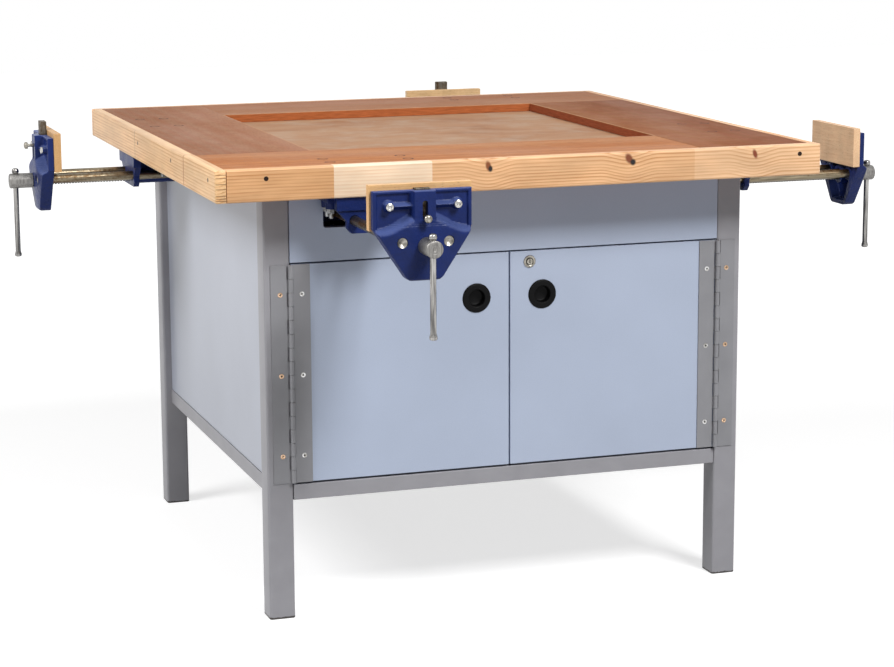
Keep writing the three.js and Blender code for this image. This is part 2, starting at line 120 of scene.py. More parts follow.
# Surfaces: every shape is a grid of points over two parameters

def cross_axes(axis):
    """Two directions square to an axis and to each other."""
    across = np.array((1.0, 0, 0)) if abs(axis[2]) > 0.9 else np.cross(axis, (0, 0, 1.0))
    return across, np.cross(axis, across)


def turned(profile, place, axis, sides=32):
    """Lathe surface: the point at place + a * axis + r * (cos t, sin t), with r and a from the profile."""
    radius, along = np.asarray(profile, float).T[..., None, None]
    across, up = cross_axes(axis)
    angle = np.linspace(0, 2 * math.pi, sides, endpoint=False)[:, None]
    ring = np.cos(angle) * across + np.sin(angle) * up
    return np.asarray(place) + along * np.asarray(axis) + radius * ring


def rounded(low, high, radius, steps=6):
    """Closed outline of a rectangle whose corners are quarter circles."""
    corner = np.array([(1, 1), (-1, 1), (-1, -1), (1, -1)])
    angle = np.linspace(0, math.pi / 2, steps + 1) + np.arange(4)[:, None] * math.pi / 2
    arc = np.stack([np.cos(angle), np.sin(angle)], -1) * radius
    middle, half = np.add(low, high) / 2, np.subtract(high, low) / 2 - radius
    return (middle + (corner * half)[:, None] + arc).reshape(-1, 2)


def capped(rings):
    """The same tube with its first and last ring drawn in to one middle point each."""
    ends = [np.broadcast_to(ring.mean(0), ring.shape)[None] for ring in (rings[0], rings[-1])]
    return np.concatenate([ends[0], rings, ends[1]])


def prism(outline, levels, order=(0, 1, 2)):
    """An outline carried in a straight line through the levels, with the axes put in the given order."""
    outline, levels = np.asarray(outline, float), np.asarray(levels, float)
    rings = np.empty((len(levels), len(outline), 3))
    rings[..., order[0]] = outline[:, 0]
    rings[..., order[1]] = outline[:, 1]
    rings[..., order[2]] = levels[:, None]
    return capped(rings)


def block(low, high):
    """A plain board between two corners: a rectangle carried upwards."""
    corners = [(low[0], low[1]), (high[0], low[1]), (high[0], high[1]), (low[0], high[1])]
    return prism(corners, (low[2], high[2]))


def screw_head(place, axis, radius, height, sides=24):
    """Domed screw head with a cross recess: height falls with the square of r, less the two slots."""
    r = np.concatenate([np.linspace(0, radius * 0.72, 7), radius * np.array((0.86, 0.96, 1.0, 1.0))])
    dome = height * (1 - (r / radius) ** 2 * 0.45)
    dome[-2:] = (height * 0.35, -0.2)
    angle = np.linspace(0, 2 * math.pi, sides, endpoint=False)
    x, y = r[:, None] * np.cos(angle), r[:, None] * np.sin(angle)
    near, far = np.sort(np.abs([x, y]), axis=0) / radius
    rise = dome[:, None] - 0.4 * height * ((near < 0.14) & (far < 0.45))
    across, up = cross_axes(axis)
    return np.asarray(place) + rise[..., None] * np.asarray(axis) + x[..., None] * across + y[..., None] * up


def quads(grid):
    """What a grid holds at the four corners of each of its cells, in turn."""
    return np.stack([grid[:-1, :-1], grid[:-1, 1:], grid[1:, 1:], grid[1:, :-1]], -1)


def make_piece(name, shapes, finish, body, replaces=(), side="front", bevel=0.0, sharp=38):
    """One object from shapes in mm: grids that close along their columns, or pairs of points and faces."""
    points, faces, start = [], [], 0
    for shape in shapes:
        if isinstance(shape, tuple):
            corners, cells = shape
        else:
            corners = shape.reshape(-1, 3)
            index = np.arange(len(corners)).reshape(shape.shape[:2])
            cells = quads(np.hstack([index, index[:, :1]])).reshape(-1, 4)
        points.append(corners)
        faces.append(cells + start)
        start += len(corners)
    mesh = bpy.data.meshes.new(name)
    mesh.from_pydata(np.vstack(points) @ station_turn(side).T * MM, [], np.vstack(faces))
    cells = bmesh.new()
    cells.from_mesh(mesh)
    bmesh.ops.remove_doubles(cells, verts=cells.verts, dist=1e-6)
    bmesh.ops.dissolve_degenerate(cells, edges=cells.edges, dist=1e-7)
    bmesh.ops.recalc_face_normals(cells, faces=cells.faces)
    cells.to_mesh(mesh)
    cells.free()
    mesh.polygons.foreach_set("use_smooth", np.ones(len(mesh.polygons), bool))
    mesh.set_sharp_from_angle(angle=math.radians(sharp))
    mesh.materials.append(finish)
    piece = bpy.data.objects.new(name, mesh)
    bpy.context.scene.collection.objects.link(piece)
    if bevel:
        ease_edges(piece, bevel)
    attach(piece, body)
    if replaces:
        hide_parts(*replaces)


def ease_edges(piece, width):
    """Rounds every sharp edge by this many mm, with the flat faces left flat to the light."""
    modifier = piece.modifiers.new("eased edges", "BEVEL")
    modifier.width = width * MM
    modifier.segments = 3
    modifier.limit_method = "ANGLE"
    modifier.angle_limit = math.radians(40)
    modifier.harden_normals = True


def dress_node(node, finish, bevel=0.0):
    """Gives a CAD node its finish, and eased edges where a width in mm is given."""
    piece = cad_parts[node]
    piece.data.materials.clear()
    piece.data.materials.append(finish)
    if bevel:
        weld = piece.modifiers.new("joined faces", "WELD")
        weld.merge_threshold = 1e-5
        ease_edges(piece, bevel)


# Materials

COLOUR = {"data_type": "RGBA"}
TINTED = {"data_type": "RGBA", "blend_type": "MULTIPLY"}
SMOOTH = {"interpolation_type": "SMOOTHSTEP"}
MIDDLING = {"From Min": 0.3, "From Max": 0.7}  # most values of a noise lie between these


def add(tree, kind, sockets=None, out=0, stops=(), **settings):
    """Adds a node with its sockets, ramp stops and settings, and returns it with its output, ready to link.

    A socket takes a value, a hex colour, or such a pair of node and output."""
    node = tree.nodes.new("ShaderNode" + kind)
    for key, value in settings.items():
        setattr(node, key, value)
    for key, value in (sockets or {}).items():
        if isinstance(value, tuple) and isinstance(value[0], bpy.types.Node):
            tree.links.new(value[0].outputs[value[1]], node.inputs[key])
        else:
            node.inputs[key].default_value = hex_colour(value) if isinstance(value, str) else value
    for _ in stops[2:]:
        node.color_ramp.elements.new(0.5)
    for element, (place, colour) in zip(node.color_ramp.elements if stops else (), stops):
        element.position = place
        element.color = hex_colour(colour)
    return node, out


def per_mm(size):
    """Texture scale, per metre, of a pattern whose features are this many millimetres wide."""
    return 1 / (size * MM)


def rings_per_mm(size):
    """Scale of a wave texture whose rings are this many millimetres wide; it has 20 radians to the unit."""
    return 2 * math.pi / 20 / (size * MM)


def blank(name):
    """A new empty material; returns it with its node tree and its object coordinates."""
    material = bpy.data.materials.new(name)
    material.use_nodes = True
    tree = material.node_tree
    tree.nodes.clear()
    return material, tree, add(tree, "TexCoord", out="Object")


def finished(material, colour, roughness, relief=None, depth=0.0, others=None):
    """The material with its shader: a colour, a roughness, a relief so many mm deep, and other sockets."""
    tree = material.node_tree
    sockets = {"Base Color": colour, "Roughness": roughness, **(others or {})}
    if relief:
        sockets["Normal"] = add(tree, "Bump", {"Height": relief, "Distance": depth * MM})
    add(tree, "OutputMaterial", {"Surface": add(tree, "BsdfPrincipled", sockets)})
    return material


def spread(tree, vector, size, detail, low, high, start=0.3, end=0.7, **more):
    """A noise with features so many mm wide, whose values from start to end are spread from low to high."""
    cloud = add(tree, "TexNoise", {"Vector": vector, "Scale": per_mm(size), "Detail": detail, **more})
    limits = {"From Min": start, "From Max": end, "To Min": low, "To Max": high}
    return add(tree, "MapRange", {"Value": cloud, **limits})


def mottled(tree, colour, *pattern):
    """A colour that such a noise lightens and darkens."""
    return add(tree, "VectorMath", {0: colour, "Scale": spread(tree, *pattern)}, operation="SCALE")


def veiled(tree, colour, other, *pattern, **more):
    """A colour that gives way to another where such a noise is high."""
    return add(tree, "Mix", {0: spread(tree, *pattern, **more), 6: colour, 7: other}, 2, **COLOUR)


def white_rays(tree):
    """1 for rays from the camera, from mirrors and through glass, which see the studio as white."""
    rays, _ = add(tree, "LightPath")
    seen = (rays, "Is Camera Ray")
    for kind in ("Is Glossy Ray", "Is Transmission Ray"):
        seen = add(tree, "Math", {0: seen, 1: (rays, kind)}, operation="MAXIMUM")
    return seen


def grain(tree, coords, along_y, stretch, heart=(0, 0, 0)):
    """Object coordinates with the grain along X, drawn out along it, and the tree's heart at the origin.

    The heart is given in mm across and up; a board along Y is turned so that its X side becomes -Y."""
    whole = {"Vector": coords, "Rotation": (0, 0, -math.pi / 2 if along_y else 0)}
    whole["Location"] = tuple(-offset * MM for offset in heart)
    return add(tree, "Mapping", {"Vector": add(tree, "Mapping", whole), "Scale": (1 / stretch, 1, 1)})


def pine(name, along_y, tint, heart, lengths, spots):
    """Lacquered softwood, glued up end to end from short lengths.

    Wide pale spring wood darkens to a thin line of summer wood at each ring. Each length of (start, light,
    dark) has rings of its own, but the last two of four match. Knots, sunk heads and glue lines are spots of
    (place, height, half width, half height, tilt, colour), and the lines sag under the knots."""
    material, tree, coords = blank(name)
    along = (add(tree, "SeparateXYZ", {"Vector": coords})[0], "Y" if along_y else "X")
    share = add(tree, "MapRange", {"Value": along, "From Min": TOP_EDGE * MM, "From Max": -TOP_EDGE * MM})
    starts, lights, darks = zip(*lengths)
    starts = [(1 - start / TOP_EDGE) / 2 for start in starts]
    phases = ("#1e1e1e", "#7f7f7f", "#e0e0e0", "#e0e0e0")
    phase, light, dark = [add(tree, "ValToRGB", {"Fac": share}, stops=list(zip(starts, colours)))
                          for colours in (phases, lights, darks)]
    for node, _ in (phase, light, dark):
        node.color_ramp.interpolation = "CONSTANT"
    phase = add(tree, "Math", {0: phase, 1: 37.0}, operation="MULTIPLY")

    drawn = grain(tree, coords, along_y, 16.0, heart)
    for x, _, _, tall, _, _ in spots:
        if 8 < tall < 20:
            off = add(tree, "Math", {0: along, 1: x * MM}, operation="SUBTRACT")
            off = add(tree, "Math", {0: off}, operation="ABSOLUTE")
            near = {"Value": off, "From Max": 60 * MM, "To Min": 10 * MM, "To Max": 0.0}
            sag = add(tree, "CombineXYZ", {"Z": add(tree, "MapRange", near, **SMOOTH)})
            drawn = add(tree, "VectorMath", {0: drawn, 1: sag}, operation="ADD")

    rings = {"Vector": drawn, "Scale": rings_per_mm(6.2), "Distortion": 7.0, "Detail": 2.0,
             "Detail Scale": 0.4, "Detail Roughness": 0.5, "Phase Offset": phase}
    rings = add(tree, "TexWave", rings, "Fac", wave_type="RINGS", wave_profile="SAW")
    line = add(tree, "MapRange", {"Value": rings, "From Min": 0.4, "From Max": 1.0}, **SMOOTH)
    fade = spread(tree, drawn, 11, 2.0, 0.25, 1)
    line = add(tree, "Math", {0: line, 1: fade}, operation="MULTIPLY")
    colour = add(tree, "Mix", {0: line, 6: light, 7: dark}, 2, **COLOUR)
    fibres = {"Vector": grain(tree, coords, along_y, 45), "Scale": per_mm(1.3), "Detail": 3.0}
    fibres = add(tree, "TexNoise", fibres)
    fine = {"Value": fibres, "From Min": 0.35, "From Max": 0.75, "To Min": 0.0, "To Max": 0.4}
    colour = add(tree, "Mix", {0: add(tree, "MapRange", fine), 6: colour, 7: dark}, 2, **COLOUR)
    colour = mottled(tree, colour, grain(tree, coords, along_y, 3), 45, 3.0, 0.84, 1.1)

    for x, z, half, tall, tilt, spot in spots:
        place, turn, size = (x * MM, 0, z * MM), (0, math.radians(tilt), 0), (half * MM, 1000, tall * MM)
        if along_y:
            place, turn, size = [(q, p, r) for p, q, r in (place, turn, size)]
        place = {"Vector": coords, "Location": place, "Rotation": turn, "Scale": size}
        place = add(tree, "Mapping", place, vector_type="TEXTURE")
        away = add(tree, "VectorMath", {0: place}, 1, operation="LENGTH")
        core = {"Value": away, "From Min": 0.45, "From Max": 1.0, "To Min": 1.0, "To Max": 0.0}
        colour = {0: add(tree, "MapRange", core, **SMOOTH), 6: colour, 7: spot}
        colour = add(tree, "Mix", colour, 2, **COLOUR)
    colour = add(tree, "Mix", {0: 1.0, 6: colour, 7: tint}, 2, **TINTED)
    lacquer = {"Specular IOR Level": 0.35, "Coat Weight": 0.1, "Coat Roughness": 0.3}
    return finished(material, colour, 0.45, fibres, 0.08, lacquer)


def hardwood(name, along_y, tint, heart, inner, outer, wall):
    """Oiled reddish hardwood, with the wear of long use.

    Pores make short dark dashes along a faintly ribboned brown. It is dry and pale towards the well, richer
    at the rim, with grey scuffs, and on the walls of the well, below the face, it takes a darker and redder
    tone."""
    material, tree, coords = blank(name)
    place, _ = add(tree, "SeparateXYZ", {"Vector": coords})
    along, across = [add(tree, "Math", {0: (place, axis)}, operation="ABSOLUTE")
                     for axis in ("YX" if along_y else "XY")]
    cloud = {"Vector": grain(tree, coords, along_y, 2.5), "Scale": per_mm(120), "Detail": 5.0,
             "Roughness": 0.6}
    cloud = add(tree, "TexNoise", cloud)
    shift = add(tree, "Math", {0: cloud, 1: 0.3, 2: across}, operation="MULTIPLY_ADD")
    shade = add(tree, "MapRange", {"Value": shift, "From Min": 0.48, "From Max": 0.72}, **SMOOTH)
    colour = add(tree, "Mix", {0: shade, 6: inner, 7: outer}, 2, **COLOUR)
    rings = {"Vector": grain(tree, coords, along_y, 14, heart), "Scale": rings_per_mm(17),
             "Distortion": 9.0, "Detail": 4.0, "Detail Scale": 0.5, "Detail Roughness": 0.6}
    rings = add(tree, "TexWave", rings, "Fac", wave_type="RINGS")
    rings = add(tree, "MapRange", {"Value": rings, "To Max": 0.3})
    colour = add(tree, "Mix", {0: rings, 6: colour, 7: wall}, 2, **COLOUR)
    pores = {"Vector": grain(tree, coords, along_y, 22), "Scale": per_mm(1.1), "Detail": 3.0}
    pores = add(tree, "TexNoise", pores)
    dashes = {"Value": pores, "From Min": 0.52, "From Max": 0.36, "To Min": 0.0, "To Max": 0.45}
    colour = add(tree, "Mix", {0: add(tree, "MapRange", dashes), 6: colour, 7: "#6b3f28"}, 2, **COLOUR)
    colour = veiled(tree, colour, "#ae8666", coords, 38, 6.0, 0, 0.25, 0.5, 0.75, Roughness=0.65)

    # A pale band round the well's arris is a painted highlight of its rounded edge, and what lies below the
    # face is its wall
    rim = add(tree, "Math", {0: across, 1: along}, operation="MAXIMUM")
    arris_highlight = {"Value": rim, "From Min": (WELL_HALF + 0.5) * MM, "From Max": (WELL_HALF + 4.5) * MM,
            "To Min": 0.5, "To Max": 0.0}
    colour = add(tree, "Mix", {0: add(tree, "MapRange", arris_highlight), 6: colour, 7: "#cfa27e"}, 2, **COLOUR)
    below = add(tree, "Math", {0: (place, "Z"), 1: (TOP_FACE - 1.2) * MM}, operation="LESS_THAN")
    side = add(tree, "MapRange", {"Value": pores, **MIDDLING, "To Min": 0.7, "To Max": 1.2})
    side = add(tree, "VectorMath", {0: hex_colour(wall)[:3], "Scale": side}, operation="SCALE")
    colour = add(tree, "Mix", {0: below, 6: colour, 7: side}, 2, **COLOUR)
    colour = add(tree, "Mix", {0: 1.0, 6: colour, 7: tint}, 2, **TINTED)
    gloss = add(tree, "MapRange", {"Value": cloud, **MIDDLING, "To Min": 0.42, "To Max": 0.6})
    return finished(material, colour, gloss, pores, 0.1, {"Specular IOR Level": 0.04})


def well_board():
    """Matt plywood floor of the well, greyed by use.

    Broad soft clouds of a peeled veneer with faint lines along it, stains, and a dusty bloom."""
    material, tree, coords = blank("peeled veneer plywood")
    cloud = {"Vector": grain(tree, coords, False, 1.8), "Scale": per_mm(130), "Detail": 6.0,
             "Roughness": 0.6, "Distortion": 0.6}
    colour = add(tree, "ValToRGB", {"Fac": add(tree, "TexNoise", cloud)}, stops=[
        (0.3, "#9a6c4a"), (0.45, "#ac805f"), (0.6, "#b38c6c"), (0.75, "#b99c83")])
    rings = {"Vector": grain(tree, coords, False, 9, (0, 60, 300)), "Scale": rings_per_mm(26),
             "Distortion": 12.0, "Detail": 4.0, "Detail Scale": 0.5}
    rings = add(tree, "TexWave", rings, "Fac", wave_type="RINGS")
    rings = add(tree, "MapRange", {"Value": rings, "To Max": 0.14})
    colour = add(tree, "Mix", {0: rings, 6: colour, 7: "#8c6041"}, 2, **COLOUR)
    fibres = {"Vector": grain(tree, coords, False, 30), "Scale": per_mm(1.2), "Detail": 3.0}
    fibres = add(tree, "TexNoise", fibres)
    fine = {"Value": fibres, "From Min": 0.45, "From Max": 0.75, "To Min": 0.0, "To Max": 0.3}
    colour = add(tree, "Mix", {0: add(tree, "MapRange", fine), 6: colour, 7: "#7f5a40"}, 2, **COLOUR)
    colour = veiled(tree, colour, "#b8a593", coords, 60, 5.0, 0, 0.5, 0.45, 0.75, Roughness=0.65)
    return finished(material, colour, 0.6, fibres, 0.06, {"Specular IOR Level": 0.15})


def beech(name, along_y, pale, dark):
    """Clear-lacquered beech: an even honey colour with short brown flecks along the grain."""
    material, tree, coords = blank(name)
    fibres = {"Vector": grain(tree, coords, along_y, 25), "Scale": per_mm(2.2), "Detail": 3.0}
    fibres = add(tree, "TexNoise", fibres)
    colour = add(tree, "ValToRGB", {"Fac": fibres}, stops=[(0.25, dark), (0.75, pale)])
    flecks = grain(tree, coords, along_y, 8)
    colour = veiled(tree, colour, "#9a6b3d", flecks, 0.9, 0.0, 0, 0.4, 0.66, 0.76)
    colour = mottled(tree, colour, coords, 40, 3.0, 0.9, 1.06)
    return finished(material, colour, 0.45, fibres, 0.04, {"Specular IOR Level": 0.4})


def frame_paint(name, colour):
    """Grey stove enamel on steel: satin, with a faint orange peel, and dark in the lowest few mm, round the
    feet.
    """
    material, tree, coords = blank(name)
    colour = mottled(tree, hex_colour(colour)[:3], coords, 60, 4.0, 0.93, 1.05)
    height = (add(tree, "SeparateXYZ", {"Vector": coords})[0], "Z")
    grit = add(tree, "TexNoise", {"Vector": coords, "Scale": per_mm(6), "Detail": 3.0})
    ragged = add(tree, "Math", {0: grit, 1: 6 * MM, 2: 1 * MM}, operation="MULTIPLY_ADD")
    foot = add(tree, "Math", {0: height, 1: ragged}, operation="LESS_THAN")
    colour = add(tree, "Mix", {0: foot, 6: colour, 7: "#3a3634"}, 2, **COLOUR)
    peel = add(tree, "TexNoise", {"Vector": coords, "Scale": per_mm(2.5), "Detail": 1.0})
    return finished(material, colour, 0.42, peel, 0.03)


def laminate(name, colour):
    """Pale melamine facing: smooth, faintly mottled and specked, with a soft sheen at low angles."""
    material, tree, coords = blank(name)
    colour = mottled(tree, hex_colour(colour)[:3], coords, 220, 3.0, 0.96, 1.03)
    speck = add(tree, "TexNoise", {"Vector": coords, "Scale": per_mm(1.6), "Detail": 2.0})
    fine = add(tree, "MapRange", {"Value": speck, **MIDDLING, "To Min": 0.96, "To Max": 1.02})
    colour = add(tree, "VectorMath", {0: colour, "Scale": fine}, operation="SCALE")
    return finished(material, colour, 0.33, speck, 0.015)


def vice_enamel(colour):
    """Blue enamel over sand-cast iron: it rounds off the sand's pimples, and a paler blue is painted on what
    faces up, as the sheen of light from above.
    """
    material, tree, coords = blank("blue enamel on cast iron")
    cloud = add(tree, "TexNoise", {"Vector": coords, "Scale": per_mm(30), "Detail": 5.0})
    fade = add(tree, "MapRange", {"Value": cloud, **MIDDLING, "To Min": 0.0, "To Max": 0.35})
    colour = add(tree, "Mix", {0: fade, 6: tuple(colour), 7: "#23357c"}, 2, **COLOUR)
    # Painted sheen: what faces up is mixed towards a paler blue, as if lit from above.
    facing = add(tree, "SeparateXYZ", {"Vector": add(tree, "TexCoord", out="Normal")}, "Z")
    painted_sheen = add(tree, "MapRange", {"Value": facing, "From Min": 0.15, "From Max": 0.8, "To Max": 0.5})
    colour = add(tree, "Mix", {0: painted_sheen, 6: colour, 7: "#5a699c"}, 2, **COLOUR)
    sand = add(tree, "TexNoise", {"Vector": coords, "Scale": per_mm(2.6), "Detail": 3.0})
    lumps = add(tree, "TexNoise", {"Vector": coords, "Scale": per_mm(8), "Detail": 2.0})
    relief = add(tree, "Math", {0: lumps, 1: 3.0, 2: sand}, operation="MULTIPLY_ADD")
    gloss = add(tree, "MapRange", {"Value": cloud, **MIDDLING, "To Min": 0.3, "To Max": 0.42})
    return finished(material, colour, gloss, relief, 0.4, {"Specular IOR Level": 0.15})


def steel(name, pale, dark, stain, stain_share, roughness, streak_axis):
    """Bare machined steel: tool marks run along one axis, and oil and rust leave films of another tone."""
    material, tree, coords = blank(name)
    stretch = tuple(0.05 if axis == streak_axis else 1.0 for axis in "XYZ")
    drawn = add(tree, "Mapping", {"Vector": coords, "Scale": stretch})
    marks = add(tree, "TexNoise", {"Vector": drawn, "Scale": per_mm(2.4), "Detail": 4.0})
    colour = add(tree, "ValToRGB", {"Fac": marks}, stops=[(0.3, dark), (0.65, pale)])
    film = add(tree, "TexNoise", {"Vector": drawn, "Scale": per_mm(14), "Detail": 5.0})
    spots = {"Vector": coords, "Scale": per_mm(7), "Detail": 6.0, "Roughness": 0.7}
    spots = add(tree, "TexNoise", spots)
    film = add(tree, "Math", {0: spots, 1: 0.8, 2: film}, operation="MULTIPLY_ADD")
    film = {"Value": film, "From Min": 1.3 - stain_share, "From Max": 1.5 - stain_share}
    film = add(tree, "MapRange", film)
    colour = add(tree, "Mix", {0: film, 6: colour, 7: stain}, 2, **COLOUR)
    gloss = add(tree, "MapRange", {"Value": film, "To Min": roughness, "To Max": roughness + 0.25})
    return finished(material, colour, gloss, marks, 0.03, {"Metallic": 1.0})


def black_plastic():
    """Black moulded nylon: a fine spark texture that greys it at low angles."""
    material, tree, coords = blank("black moulded nylon")
    spark = add(tree, "TexNoise", {"Vector": coords, "Scale": per_mm(0.8), "Detail": 2.0})
    colour = add(tree, "ValToRGB", {"Fac": spark}, stops=[(0.3, "#040405"), (0.7, "#0a0a0b")])
    return finished(material, colour, 0.5, spark, 0.05, {"Specular IOR Level": 0.1})


def plated(name, colour, clouded, roughness):
    """Bright plating on steel fittings: almost a mirror, clouded in spots."""
    material, tree, coords = blank(name)
    cloud = add(tree, "TexNoise", {"Vector": coords, "Scale": per_mm(5), "Detail": 3.0})
    colour = add(tree, "ValToRGB", {"Fac": cloud}, stops=[(0.35, colour), (0.7, clouded)])
    return finished(material, colour, roughness, others={"Metallic": 1.0})


def shaded(name, colour, other, size_mm, roughness):
    """A small spot of painted shade, or of a glue line with painted shade, that wavers between two tones."""
    material, tree, coords = blank(name)
    cloud = add(tree, "TexNoise", {"Vector": coords, "Scale": per_mm(size_mm), "Detail": 3.0})
    colour = add(tree, "ValToRGB", {"Fac": cloud}, stops=[(0.4, colour), (0.6, other)])
    return finished(material, colour, roughness, others={"Specular IOR Level": 0.2})


# The jaw casting: two depth fields over one lattice, in mm, seen from the person who turns the screw

JAW_HALF = 90.0
JAW_LOW, JAW_SHOULDER, JAW_TOP = 708.0, 799.0, 865.0
PLATE_DEPTH, PLATE_RIM = 8, 4
RIM_HALF, RIM_TOP = 82, 858.5
HOUSING_HALF, HOUSING_DEPTH = 19.4, 27
ARM_DEPTH, ARM_HALF = 20, 4.2
BOSS_RADIUS, BOSS_DEPTH = 8.5, 19.5
BELLY_HEIGHTS = (708, 713, 744, 763, 790, 800, 808, 816, 830)
BELLY_DEPTHS = (22, 26, 29, 31, 31, 30.3, 28.8, 27.5, 27)
ROD_WELL_RADIUS, ROD_WELL_DEPTH = 9.6, 19
EDGE_RADIUS = 2.4
HOLLOW_HEIGHTS, HOLLOW_HALVES = (716, 718, 788, 790), (0, 27, 58, 0)
HOLLOW_DEPTH, HOLLOW_WALL = 20, 7
SCREW_BOSS_RADIUS, ROD_BOSS_RADIUS = 19, 14.5
DOG_SLOT_HALF, DOG_SLOT_LOW, DOG_SLOT_DEPTH = 14.6, 807, 14.2
SCREW_BORE = (SCREW_Z, SCREW_Z, 12.0)
CLAMP_SLOT = (818.0, 843.0, 5.0)


def step(value, start, end):
    """Smooth rise from 0 at start to 1 at end."""
    x = np.clip((value - start) / (end - start), 0, 1)
    return x * x * (3 - 2 * x)


def jaw_half(z):
    """Half the width of the jaw's shield outline at a height."""
    return np.interp(z, (JAW_LOW, 709, 711, 714, JAW_SHOULDER), (24, 28, 31, 34, JAW_HALF))


def jaw_lattice():
    """Points (u, z) over the shield: u is a share s of half the width at z; lines gather where edges are."""
    fine = np.array((4.9, 5.1, 14.5, 14.7, 19.0, 19.6, 20.6, 21.4, 82, 83, 87.5, 88.6, 89.5)) / JAW_HALF
    s = np.unique(np.concatenate([np.linspace(-1, 1, 141), fine, -fine]))
    rows = (709, 710.5, 806.8, 807.2, 804, 858.5, 859.5, 862.5, 863.7, 864.6)
    z = np.unique(np.concatenate([np.linspace(JAW_LOW, JAW_TOP, 125), rows]))
    u = s[None, :] * jaw_half(z)[:, None]
    z = np.repeat(z[:, None], len(s), 1)
    for hand in (-1, 1):
        for x, height, radius in ((ROD_X, ROD_Z, ROD_WELL_RADIUS), (*CHEEK_SCREW, BOSS_RADIUS)):
            away = np.hypot(u - hand * x, z - height)
            off = np.clip((away - radius) / 2.4, -1, 1)
            drawn = (radius + 2.4 * off * np.abs(off)) / np.maximum(away, 0.1)
            scale = np.where(np.abs(off) < 1, drawn, 1)
            u, z = hand * x + (u - hand * x) * scale, height + (z - height) * scale
    return u, z


def softened(field, times):
    """The field after so many passes of a 1-2-1 mean both ways, which rounds its steps like a casting's."""
    for _ in range(times):
        padded = np.pad(field, 1, mode="edge")
        field = (padded[:-2, 1:-1] + padded[2:, 1:-1] + 2 * field) / 4
        padded = np.pad(field, 1, mode="edge")
        field = (padded[1:-1, :-2] + padded[1:-1, 2:] + 2 * field) / 4
    return field


def jaw_front(u, z):
    """Depth of the front: the greatest of plate, rim, dog housing, arms, screw bosses and belly, softened.

    The belly is the least of its side view and a crown that rises inwards from the outline; above an
    S-shaped crest it falls away to the plate, by a rounded ramp. Each rod's end lies in a round well."""
    a = np.abs(u)
    edge = np.where(z > JAW_SHOULDER, JAW_HALF - a, (jaw_half(z) - a) * 0.83)
    plate = PLATE_DEPTH + PLATE_RIM * step(np.maximum(a - RIM_HALF, (z - RIM_TOP) * 1.2), 0, 1.2)
    housing = np.clip(HOUSING_DEPTH - 5 * (a - HOUSING_HALF), 0, HOUSING_DEPTH) * (z > JAW_SHOULDER + 4)
    arm = (ARM_DEPTH - 11 * ((z - CHEEK_SCREW[1]) / ARM_HALF) ** 2) * (a < CHEEK_SCREW[0])
    boss = BOSS_DEPTH * (np.hypot(a - CHEEK_SCREW[0], z - CHEEK_SCREW[1]) < BOSS_RADIUS)
    side = np.interp(z, BELLY_HEIGHTS, BELLY_DEPTHS)
    crown = 23.5 + 0.3 * edge
    belly = -2.2 * np.logaddexp(-side / 2.2, -crown / 2.2)
    crest = 827.5 - 10 * step(a, 12, 20) - 26 * step(a, 10, 75)
    belly = belly - 2.3 * 1.6 * np.logaddexp(0, (z - crest) / 1.6)
    depth = softened(np.maximum.reduce([plate, housing, arm, boss, belly]), 3)
    rim = np.clip(np.minimum.reduce([edge, JAW_TOP - z, z - JAW_LOW]) / EDGE_RADIUS, 0, 1)
    depth = depth - EDGE_RADIUS * (1 - np.sqrt(1 - (1 - rim) ** 2))
    well = np.hypot(a - ROD_X, z - ROD_Z) < ROD_WELL_RADIUS
    return np.where(well, np.minimum(depth, ROD_WELL_DEPTH), depth)


def jaw_back(u, z, front):
    """Depth of the back: the hollow behind the belly, less the bosses in it, and the slot of the dog."""
    a = np.abs(u)
    hollow = np.interp(z, HOLLOW_HEIGHTS, HOLLOW_HALVES) - a
    depth = np.clip(np.minimum(hollow * 5, front - HOLLOW_WALL), 0, HOLLOW_DEPTH)
    depth = np.where(np.hypot(u, z - SCREW_Z) < SCREW_BOSS_RADIUS, 0, depth)
    depth = np.where(np.hypot(a - ROD_X, z - ROD_Z) < ROD_BOSS_RADIUS, 0, depth)
    return np.where((a < DOG_SLOT_HALF) & (z > DOG_SLOT_LOW), DOG_SLOT_DEPTH, depth)


def pierced(u, z, slots):
    """The lattice with the rims of its (low, high, radius) slots drawn to shape, and the cells to keep."""
    keep = np.ones(np.subtract(u.shape, 1), bool)
    for low, high, radius in slots:
        nearest = np.clip(z, low, high)
        away = np.hypot(u, z - nearest)
        gone = np.pad(quads(away).mean(-1) < radius, 1)
        around = quads(gone)
        rim = around.any(-1) & ~around.all(-1)
        scale = np.where(rim, radius / np.maximum(away, 0.1), 1)
        u, z = u * scale, nearest + (z - nearest) * scale
        keep &= ~gone[1:-1, 1:-1]
    return u, z, keep


def walled(front, back, keep):
    """Points and faces of a slab between two grids, closed by a wall round its outline and its holes."""
    rows, columns = front.shape[:2]
    index = np.arange(rows * columns).reshape(rows, columns)
    cells = quads(index)[keep]
    inside = np.pad(keep, 1)
    i, j = np.nonzero((inside[:, 1:] != inside[:, :-1])[1:-1])
    m, n = np.nonzero((inside[1:] != inside[:-1])[:, 1:-1])
    start = np.concatenate([index[i, j], index[m, n]])
    end = np.concatenate([index[i + 1, j], index[m, n + 1]])
    walls = np.stack([start, end, end + index.size, start + index.size], -1)
    points = np.concatenate([front.reshape(-1, 3), back.reshape(-1, 3)])
    return points, np.concatenate([cells, cells + index.size, walls])


def jaw_casting(place_x, back_y):
    """The whole casting: both depth fields, walled round, with the screw's bore and the clamp's slot."""
    u, z, keep = pierced(*jaw_lattice(), (SCREW_BORE, CLAMP_SLOT))
    front = jaw_front(u, z)
    back = jaw_back(u, z, front)
    grids = [np.stack([place_x + u, back_y - depth, z], -1) for depth in (front, back)]
    return walled(*grids, keep)


# Settings that a user may change

def colour_property(name, description, default):
    """A colour setting whose default is given as an sRGB hex colour."""
    return bpy.props.FloatVectorProperty(
        name=name, description=description, subtype="COLOR", size=4, min=0, max=1,
        default=hex_colour(default))


